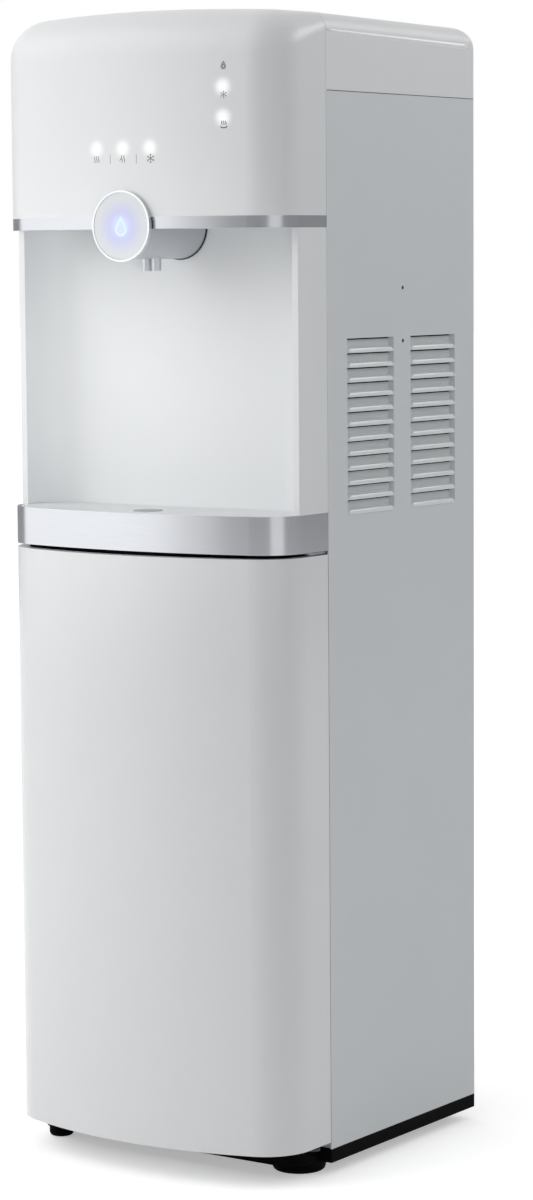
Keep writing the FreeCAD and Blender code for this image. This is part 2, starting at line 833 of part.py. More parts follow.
def spout_housing():
    back_y = seam_y - niche_back
    inner = spout_radius - spout_wall
    shell = lying(spout_radius, 0, spout_z, bezel_back, back_y)
    shell = shell.cut(lying(inner, 0, spout_z, bezel_back, back_y))
    guide_y = button_front + plunger_length - 2 * button_stroke - 2 * web_thick
    guide = lying(inner, 0, spout_z, guide_y, guide_y + web_thick)
    guide = guide.cut(lying(plunger_radius + fit_gap, 0, spout_z, guide_y, guide_y + web_thick))
    carrier = lying(inner, 0, spout_z, switch_back(), switch_back() + web_thick)
    housing = fuse_all([shell, guide, carrier, nozzle_holder()])
    return housing.cut(nozzle_pair(nozzle_radius + fit_gap))


def nozzle_pair(radius):
    return Part.makeCompound([upright(radius, x, seam_y - nozzle_y, nozzle_bottom, nozzle_top)
                              for x in (-nozzle_spacing / 2, nozzle_spacing / 2)])


def nozzle(side):
    x = side * nozzle_spacing / 2
    tube = upright(nozzle_radius, x, seam_y - nozzle_y, nozzle_bottom, nozzle_top)
    return tube.cut(upright(nozzle_bore, x, seam_y - nozzle_y, nozzle_bottom, nozzle_top))


def nozzle_holder():
    inner = spout_radius - spout_wall
    y = seam_y - nozzle_y
    block = box(-holder_width / 2, holder_width / 2, y - holder_depth / 2, y + holder_depth / 2,
                spout_z - inner, spout_z - holder_drop)
    return block.common(lying(inner, 0, spout_z, y - holder_depth, y + holder_depth))


def button_bezel():
    ring = lying(bezel_radius, 0, spout_z, bezel_front, bezel_back)
    ring = ring.cut(lying(bezel_bore, 0, spout_z, bezel_front, bezel_back - bezel_web))
    return ring.cut(lying(spout_radius - bezel_hold, 0, spout_z, bezel_front, bezel_back))


def drop_outline(y, inset):
    """A drop, drawn in by inset: a round bottom with straight flanks that meet in a point."""
    radius = drop_width / 2
    centre_z = spout_z - drop_height / 2 + radius
    share = 1 - inset / radius
    tip_z = centre_z + (drop_height - radius) * share
    flank = math.acos(radius / (drop_height - radius))
    side_x = radius * share * math.sin(flank)
    side_z = centre_z + radius * share * math.cos(flank)
    tip = V(0, y, tip_z)
    left = V(-side_x, y, side_z)
    right = V(side_x, y, side_z)
    bottom = Part.Arc(left, V(0, y, centre_z - radius * share), right).toShape()
    return Part.Face(Part.Wire([Part.makeLine(tip, left), bottom, Part.makeLine(right, tip)]))


def button_drop():
    """Light guide in the shape of a drop's outline, flush with the button."""
    whole = drop_outline(button_front, 0).extrude(V(0, drop_thick, 0))
    return whole.cut(drop_outline(button_front, drop_stroke).extrude(V(0, drop_thick, 0)))


def dispense_button():
    disc = lying(bezel_bore - part_gap, 0, spout_z, button_front, button_front + button_thick)
    plunger = lying(plunger_radius, 0, spout_z, button_front + button_thick, button_front + plunger_length)
    return fuse_all([disc, plunger]).cut(button_drop())


def switch_front():
    return button_front + plunger_length + button_stroke + part_gap


def switch_back():
    return switch_front() + switch_depth


def button_switch():
    return box(-switch_width / 2, switch_width / 2, switch_front(), switch_back(),
               spout_z - switch_height / 2, spout_z + switch_height / 2)


def solenoid_valves():
    floor = strip_bottom + wall
    body = centred_box(valve_body, valve_x, seam_y - valve_y, floor)
    coil = upright(coil_radius, valve_x, seam_y - valve_y, floor + valve_body[2],
                   floor + valve_body[2] + coil_height)
    return both_sides(fuse_all([body, coil]))


def compressor():
    plate_z = deck_top + mount_height
    plate = centred_box(compressor_plate, compressor_x, compressor_y, plate_z)
    can_top = plate_z + compressor_height
    can = upright(compressor_radius, compressor_x, compressor_y, plate_z + plate_thick, can_top)
    upper_edge = max(can.Edges, key=lambda edge: edge.BoundBox.ZMin)
    return fuse_all([plate, can.makeFillet(compressor_round, [upper_edge])])


def compressor_mounts():
    x = compressor_plate[0] / 2 - mount_inset
    y = compressor_plate[1] / 2 - mount_inset
    return Part.makeCompound([upright(mount_radius, compressor_x + sx * x, compressor_y + sy * y,
                                      deck_top, deck_top + mount_height)
                              for sx in (-1, 1) for sy in (-1, 1)])


def hot_ring(r_out, r_in, z0, z1):
    return upright(r_out, hot_x, hot_y, z0, z1).cut(upright(r_in, hot_x, hot_y, z0, z1))


def hot_tank():
    top = hot_floor + hot_height
    tank = upright(hot_radius, hot_x, hot_y, hot_floor, top)
    tank = tank.cut(upright(hot_radius - tank_wall, hot_x, hot_y, hot_floor + tank_wall, top - tank_wall))
    return fuse_all([tank, hot_ring(hot_radius, hot_radius - wall, deck_top, hot_floor)])


def heater_band():
    low = hot_floor + hot_height / 2
    inner = hot_radius + fit_gap
    return hot_ring(inner + band_thick, inner, low, low + band_height)


def hot_tank_insulation():
    inner = hot_radius + fit_gap + band_thick + part_gap
    jacket = hot_ring(inner + hot_insulation, inner, deck_top, hot_floor + hot_height)
    return jacket.cut(lying(drain_radius + part_gap, hot_x, drain_z, hot_y, rear_y))


def drain_spout():
    end_y = rear_panel_y + drain_reach
    spout = lying(drain_radius, hot_x, drain_z, hot_y, end_y)
    spout = spout.cut(upright(hot_radius, hot_x, hot_y, hot_floor, hot_floor + hot_height))
    return spout.cut(lying(drain_bore, hot_x, drain_z, hot_y, end_y))


def drain_cap():
    end = rear_panel_y + drain_reach + part_gap + wall
    start = end - cap_depth
    cap = lying(cap_radius, hot_x, drain_z, start, end)
    return cap.cut(lying(drain_radius + fit_gap, hot_x, drain_z, start, end - wall))


def cold_ring(r_out, r_in, z0, z1):
    return upright(r_out, 0, cold_y, z0, z1).cut(upright(r_in, 0, cold_y, z0, z1))


def cold_tank():
    tank = upright(cold_radius, 0, cold_y, tank_floor, tank_top)
    return tank.cut(upright(cold_radius - tank_wall, 0, cold_y, tank_floor + tank_wall, tank_top))


def evaporator():
    inner = cold_radius + fit_gap
    return cold_ring(inner + evaporator_thick, inner, tank_floor + wall, tank_top - evaporator_drop)


def cold_tank_insulation():
    jacket = upright(cold_outer, 0, cold_y, cold_floor, tank_top)
    return jacket.cut(upright(cold_outer - cold_insulation, 0, cold_y, tank_floor, tank_top))


def tank_lid():
    stem_end = tank_top - stem_length
    lid = upright(cold_outer, 0, cold_y, tank_top, tank_top + lid_thick)
    stem = upright(stem_radius, 0, cold_y, stem_end, tank_top)
    stop = upright(stem_stop_radius, 0, cold_y, stem_end - stem_stop_height, stem_end)
    return fuse_all([lid, stem, stop])


def tank_float():
    bottom = tank_top - stem_length + part_gap
    ring = upright(float_radius, 0, cold_y, bottom, bottom + float_height)
    return ring.cut(upright(stem_radius + part_gap, 0, cold_y, bottom, bottom + float_height))


def water_pump():
    return centred_box(pump_size, lance_x + pump_size[0] / 2 - hose_radius - part_gap, lance_y, deck_top)


def suction_hose():
    return upright(hose_radius, lance_x, lance_y, lance_top + lance_cap_height, deck_top)


def suction_lance():
    tube = upright(lance_radius, lance_x, lance_y, lance_bottom, lance_top)
    cap = upright(lance_cap_radius, lance_x, lance_y, lance_top, lance_top + lance_cap_height)
    return fuse_all([tube, cap])


def lance_clip():
    top = clip_level + clip_height
    block = box(lance_x - clip_side, lance_x + clip_side, lance_y - clip_side, rear_panel_y - gauge,
                clip_level, top)
    return block.cut(upright(lance_radius + fit_gap, lance_x, lance_y, clip_level, top))


def condenser_tube():
    """One serpentine: out through the panel, down, back and forth to the bottom, up a riser and in again."""
    inside_y = rear_panel_y - gauge
    turn_x = condenser_half + condenser_pitch / 2
    points = [V(-riser_x, inside_y, riser_level), V(-riser_x, tube_y, riser_level)]
    points.append(V(-riser_x, tube_y, condenser_top))
    side = 1
    for run in range(condenser_runs - 1):
        z = condenser_top - run * condenser_pitch
        points.append(V(side * turn_x, tube_y, z))
        points.append(V(side * turn_x, tube_y, z - condenser_pitch))
        side = -side
    points.append(V(riser_x, tube_y, condenser_bottom))
    points.append(V(riser_x, tube_y, riser_level))
    points.append(V(riser_x, inside_y, riser_level))
    return bent_tube(points, tube_radius, tight_bend)


def condenser_wires():
    offset = tube_radius + wire_radius + fit_gap
    count = int(2 * condenser_half / wire_pitch)
    low = condenser_bottom - wire_overhang
    high = condenser_top + wire_overhang
    wires = []
    for step in range(count + 1):
        x = (step - count / 2) * wire_pitch
        for y in (tube_y - offset, tube_y + offset):
            wires.append(upright(wire_radius, x, y, low, high))
    return Part.makeCompound(wires)


def condenser_rack():
    """The wire rods and the four blocks that stand the condenser off the rear panel."""
    block_end = tube_y - tube_radius - 2 * wire_radius - 2 * fit_gap
    pieces_of_rack = condenser_wires().Solids
    for x in (-bracket_x, bracket_x):
        for run in (1, condenser_runs - 2):
            z = condenser_top - run * condenser_pitch
            pieces_of_rack.append(box(x - bracket_width / 2, x + bracket_width / 2, rear_panel_y, block_end,
                                      z - bracket_width / 2, z + bracket_width / 2))
    return Part.makeCompound(pieces_of_rack)


def filter_drier():
    return upright(drier_radius, riser_x, drier_y, drier_floor, drier_floor + drier_height)


def capillary_pipe():
    points = [
        V(riser_x, drier_y, drier_floor + drier_height),
        V(riser_x, drier_y, capillary_level),
        V(capillary_x, drier_y, capillary_level),
        V(capillary_x, cold_y, capillary_level),
    ]
    tube = bent_tube(points, capillary_radius, pipe_bend)
    return tube.cut(upright(cold_outer, 0, cold_y, cold_floor, tank_top))


def suction_pipe():
    points = [
        V(suction_x, cold_y, suction_top),
        V(suction_x, pipe_y, suction_top),
        V(suction_x, pipe_y, suction_level),
        V(suction_x, compressor_y, suction_level),
    ]
    tube = bent_tube(points, tube_radius, pipe_bend)
    return tube.cut(upright(cold_outer, 0, cold_y, cold_floor, tank_top)).cut(compressor())


def discharge_pipe():
    points = [
        V(compressor_x, compressor_y, discharge_level),
        V(compressor_x, pipe_y, discharge_level),
        V(-riser_x, pipe_y, discharge_level),
        V(-riser_x, pipe_y, riser_level),
        V(-riser_x, rear_panel_y - gauge, riser_level),
    ]
    return bent_tube(points, tube_radius, tight_bend).cut(compressor())


def liquid_pipe():
    points = [
        V(riser_x, rear_panel_y - gauge, riser_level),
        V(riser_x, drier_y, riser_level),
        V(riser_x, drier_y, drier_floor),
    ]
    return bent_tube(points, tube_radius, tight_bend)


def refrigerant_pipes():
    return Part.makeCompound([discharge_pipe(), liquid_pipe(), capillary_pipe(), suction_pipe()])


def switch_window(side, gap):
    x = switch_plate_x + side * rocker_x
    w = rocker_size[0] / 2 + wall / 2 + gap
    h = rocker_size[1] / 2 + wall / 2 + gap
    return box(x - w, x + w, rear_panel_y - rocker_body_depth, rear_panel_y,
               switch_plate_z - h, switch_plate_z + h)


def rocker_well(side, gap):
    x = switch_plate_x + side * rocker_x
    w = rocker_size[0] / 2 + gap
    h = rocker_size[1] / 2 + gap
    return box(x - w, x + w, rear_panel_y - rocker_body_depth + wall, rear_panel_y + switch_plate_size[1],
               switch_plate_z - h, switch_plate_z + h)


def switch_plate():
    plate = centred_box(switch_plate_size, switch_plate_x, rear_panel_y + switch_plate_size[1] / 2,
                        switch_plate_z - switch_plate_size[2] / 2)
    body = fuse_all([plate, switch_window(-1, 0), switch_window(1, 0)])
    return body.cut(rocker_well(-1, part_gap)).cut(rocker_well(1, part_gap))


def rocker_axis_y():
    return rear_panel_y + switch_plate_size[1] / 2


def rocker(side):
    """Rocker with a barrel at its pivot and two slanting wings."""
    x = switch_plate_x + side * rocker_x
    axis_y = rocker_axis_y()
    high = rocker_size[1] / 2 - wall / 2
    w = rocker_size[0] / 2 - part_gap
    outline = Part.makePolygon([V(x - w, axis_y - wall, switch_plate_z - high / 3),
                                V(x - w, axis_y, switch_plate_z - high),
                                V(x - w, axis_y + rocker_rise, switch_plate_z - high),
                                V(x - w, axis_y + rocker_rise / 2, switch_plate_z),
                                V(x - w, axis_y + rocker_rise / 2, switch_plate_z + high),
                                V(x - w, axis_y - wall / 2, switch_plate_z + high),
                                V(x - w, axis_y - wall, switch_plate_z + high / 3),
                                V(x - w, axis_y - wall, switch_plate_z - high / 3)])
    return Part.Face(outline).extrude(V(2 * w, 0, 0))


def inlet_body(gap):
    w = inlet_size[0] / 2 + gap
    h = inlet_size[1] / 2 + gap
    return box(inlet_x - w, inlet_x + w, rear_panel_y - inlet_depth, rear_panel_y, inlet_z - h, inlet_z + h)


def power_inlet():
    w = inlet_size[0] / 2 + inlet_flange
    h = inlet_size[1] / 2 + inlet_flange
    face = box(inlet_x - w, inlet_x + w, rear_panel_y, rear_panel_y + wall, inlet_z - h, inlet_z + h)
    well = box(inlet_x - inlet_size[0] / 2 + wall, inlet_x + inlet_size[0] / 2 - wall,
               rear_panel_y - inlet_depth + wall, rear_panel_y + wall,
               inlet_z - inlet_size[1] / 2 + wall, inlet_z + inlet_size[1] / 2 - wall)
    pins = []
    pin_root = rear_panel_y - inlet_depth + wall
    pin_end = rear_panel_y - inlet_pin_setback
    for x, z in inlet_pin_places:
        pin = (inlet_pin[0], pin_end - pin_root, inlet_pin[1])
        pins.append(centred_box(pin, inlet_x + x, (pin_root + pin_end) / 2, inlet_z + z - inlet_pin[1] / 2))
    return fuse_all([fuse_all([face, inlet_body(0)]).cut(well)] + pins)


def power_board():
    inside_y = rear_panel_y - gauge
    middle = inside_y - wall - power_board_size[1] / 2
    board = centred_box(power_board_size, power_board_x, middle, power_board_z - power_board_size[2])
    posts = []
    for sx in (-1, 1):
        x = power_board_x + sx * (power_board_size[0] / 2 - 2 * standoff_radius)
        for z in (power_board_z - power_board_size[2] + 2 * standoff_radius,
                  power_board_z - 2 * standoff_radius):
            posts.append(lying(standoff_radius, x, z, inside_y - wall, inside_y))
    return fuse_all([board] + posts)


pieces = {
    "base_plinth": base_plinth(),
    "feet": feet(),
    "bottle_platform": bottle_platform(),
    "right_side_panel": right_side_panel(),
    "left_side_panel": right_side_panel().mirror(V(0, 0, 0), V(1, 0, 0)),
    "panel_screws": panel_screws(),
    "rear_panel": rear_panel(),
    "front_crossbar": front_crossbar(),
    "mid_deck": mid_deck(),
    "tank_shelf": tank_shelf(),
    "top_cover": top_cover(),
    "head_cover": head_cover(),
    "head_trim_strip": head_trim_strip(),
    "niche_liner": niche_liner(),
    "tray_trim": tray_trim(),
    "tray_carrier": tray_carrier(),
    "drip_tray": drip_tray(),
    "drip_grille": drip_grille(),
    "splash_disc": splash_disc(),
    "door_panel": door_panel(),
    "door_inner_panel": door_inner_panel(),
    "door_strike": door_strike(),
    "magnet_catch": magnet_catch(),
    "upper_hinge": upper_hinge(),
    "lower_hinge": lower_hinge(),
    "spout_housing": spout_housing(),
    "hot_nozzle": nozzle(-1),
    "cold_nozzle": nozzle(1),
    "button_bezel": button_bezel(),
    "dispense_button": dispense_button(),
    "button_drop": button_drop(),
    "button_switch": button_switch(),
    "indicator_lenses": indicator_lenses(),
    "control_board": control_board(),
    "solenoid_valves": solenoid_valves(),
    "compressor": compressor(),
    "compressor_mounts": compressor_mounts(),
    "hot_tank": hot_tank(),
    "heater_band": heater_band(),
    "hot_tank_insulation": hot_tank_insulation(),
    "drain_spout": drain_spout(),
    "drain_cap": drain_cap(),
    "cold_tank": cold_tank(),
    "evaporator": evaporator(),
    "cold_tank_insulation": cold_tank_insulation(),
    "tank_lid": tank_lid(),
    "tank_float": tank_float(),
    "water_pump": water_pump(),
    "suction_hose": suction_hose(),
    "suction_lance": suction_lance(),
    "lance_clip": lance_clip(),
    "condenser_tube": condenser_tube(),
    "condenser_rack": condenser_rack(),
    "filter_drier": filter_drier(),
    "refrigerant_pipes": refrigerant_pipes(),
    "switch_plate": switch_plate(),
    "hot_switch": rocker(-1),
    "cold_switch": rocker(1),
    "power_inlet": power_inlet(),
    "power_board": power_board(),
}

os.makedirs("parts", exist_ok=True)
for name, shape in pieces.items():
    shape.exportStep("parts/" + name + ".step")
    print(name, shape.isValid(), len(shape.Solids), round(shape.Volume))
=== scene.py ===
import math
import bpy
import bmesh
from mathutils import Matrix, Vector
from mathutils.bvhtree import BVHTree
from mathutils.geometry import convex_hull_2d


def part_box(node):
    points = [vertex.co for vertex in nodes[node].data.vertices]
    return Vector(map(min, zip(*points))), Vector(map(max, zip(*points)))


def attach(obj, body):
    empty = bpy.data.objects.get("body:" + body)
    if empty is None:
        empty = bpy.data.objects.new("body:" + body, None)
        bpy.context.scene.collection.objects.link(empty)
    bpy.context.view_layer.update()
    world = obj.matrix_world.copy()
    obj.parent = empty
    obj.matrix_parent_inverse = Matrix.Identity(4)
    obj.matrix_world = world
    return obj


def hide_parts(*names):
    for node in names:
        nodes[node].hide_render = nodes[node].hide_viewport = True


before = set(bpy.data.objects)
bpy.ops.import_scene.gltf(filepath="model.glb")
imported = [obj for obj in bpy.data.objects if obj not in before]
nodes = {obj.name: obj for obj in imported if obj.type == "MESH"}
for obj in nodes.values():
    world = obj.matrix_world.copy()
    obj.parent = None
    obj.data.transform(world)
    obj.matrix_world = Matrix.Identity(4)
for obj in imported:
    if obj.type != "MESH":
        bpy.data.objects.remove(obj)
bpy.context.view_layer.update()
scene = bpy.context.scene
scene.view_settings.view_transform = "Standard"
mm = 0.001
print("frame loaded:", len(nodes), "nodes")

# Places read from the frame
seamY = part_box("right_side_panel")[0].y      # front edge of the side panels
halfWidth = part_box("right_side_panel")[1].x
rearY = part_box("right_side_panel")[1].y


def linear(hexCode):
    values = [int(hexCode[i:i + 2], 16) / 255 for i in (1, 3, 5)]
    return [v / 12.92 if v <= 0.04045 else ((v + 0.055) / 1.055) ** 2.4 for v in values] + [1.0]


def addNode(tree, kind, inputs=None, **settings):
    node = tree.nodes.new(kind)
    for key, value in settings.items():
        setattr(node, key, value)
    for key, value in (inputs or {}).items():
        if isinstance(value, bpy.types.NodeSocket):
            tree.links.new(value, node.inputs[key])
        else:
            node.inputs[key].default_value = value
    return node


def boxCentre(name):
    low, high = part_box(name)
    return (low + high) / 2


def roundPoints(sides):
    return [(math.cos(a), math.sin(a)) for a in (2 * math.pi * k / sides for k in range(sides))]


def sided(name, side):
    return name + ("_right" if side > 0 else "_left")


# Painted glow: soft patches round lamps behind a moulding, which fade over its surface
def addPaintedGlow(tree, coords, centres, spanMm):
    total = None
    for centre in centres:
        away = addNode(tree, "ShaderNodeVectorMath", {0: coords, 1: centre}, operation="DISTANCE")
        span = {"From Min": spanMm[0] * mm, "From Max": spanMm[1] * mm, "To Min": 1.0, "To Max": 0.0}
        patch = addNode(tree, "ShaderNodeMapRange", {"Value": away.outputs["Value"], **span},
                        interpolation_type="SMOOTHERSTEP")
        fade = patch.outputs["Result"]
        if total is not None:
            fade = addNode(tree, "ShaderNodeMath", {0: total, 1: fade}, operation="MAXIMUM").outputs[0]
        total = fade
    return total


# Finishes. Patch and grain sizes are real millimetres.
def finish(spec):
    material = bpy.data.materials.new(spec["name"])
    material.use_nodes = True
    tree = material.node_tree
    shader = tree.nodes["Principled BSDF"]
    shader.inputs["Metallic"].default_value = spec.get("metallic", 0.0)
    if "ior" in spec:
        shader.inputs["IOR"].default_value = spec["ior"]
    for socket, value in spec.get("sockets", {}).items():
        shader.inputs[socket].default_value = value
    coords = addNode(tree, "ShaderNodeTexCoord")
    stretch = addNode(tree, "ShaderNodeMapping", {"Vector": coords.outputs["Object"],
                                                  "Scale": spec.get("stretch", (1, 1, 1))})
    place = stretch.outputs["Vector"]
    patch = addNode(tree, "ShaderNodeTexNoise", {"Vector": place, "Scale": 1 / (spec["patchMm"] * mm),
                                                 "Detail": 3.0})
    tint = addNode(tree, "ShaderNodeMix", {"Factor": patch.outputs["Fac"], 6: linear(spec["colour"]),
                                           7: linear(spec["shade"])}, data_type="RGBA")
    base = tint.outputs[2]
    # painted glow: the base colour is tinted and the surface emits in patches round the lamps
    if "glow" in spec:
        glow = spec["glow"]
        tinted = addPaintedGlow(tree, coords.outputs["Object"], glow["centres"], glow["tintMm"])
        lit = addPaintedGlow(tree, coords.outputs["Object"], glow["centres"], glow["litMm"])
        under = addNode(tree, "ShaderNodeMix", {"Factor": tinted, 6: base, 7: linear(glow["tint"])},
                        data_type="RGBA")
        base = under.outputs[2]
        shader.inputs["Emission Color"].default_value = linear(glow["colour"])
        power = addNode(tree, "ShaderNodeMath", {0: lit, 1: glow["level"]}, operation="MULTIPLY")
        tree.links.new(power.outputs[0], shader.inputs["Emission Strength"])
    tree.links.new(base, shader.inputs["Base Color"])
    low, high = spec["roughness"]
    rough = addNode(tree, "ShaderNodeMapRange", {"Value": patch.outputs["Fac"], "To Min": low,
                                                 "To Max": high})
    tree.links.new(rough.outputs["Result"], shader.inputs["Roughness"])
    grain = addNode(tree, "ShaderNodeTexNoise", {"Vector": place, "Scale": 1 / (spec["grainMm"] * mm),
                                                 "Detail": 2.0})
    bump = addNode(tree, "ShaderNodeBump", {"Height": grain.outputs["Fac"], "Strength": 0.5,
                                            "Distance": spec["grainDepthMm"] * mm})
    tree.links.new(bump.outputs["Normal"], shader.inputs["Normal"])
    return material


def surfaceOf(name):
    mesh = nodes[name].data
    return BVHTree.FromPolygons([v.co for v in mesh.vertices], [f.vertices for f in mesh.polygons])


def onFront(surface, x, z):
    return surface.ray_cast(Vector((x * mm, -1, z * mm)), Vector((0, 1, 0)))[0]


# Lamps behind the head, x and z in millimetres: three in a row and two in a column
lensSpots = [(-30.4, 960), (0, 960), (30.4, 960), (106, 1013), (106, 985.6)]
lensFaces = surfaceOf("indicator_lenses")
lensCentres = [onFront(lensFaces, x, z) for x, z in lensSpots]
dropCentre = boxCentre("button_drop")

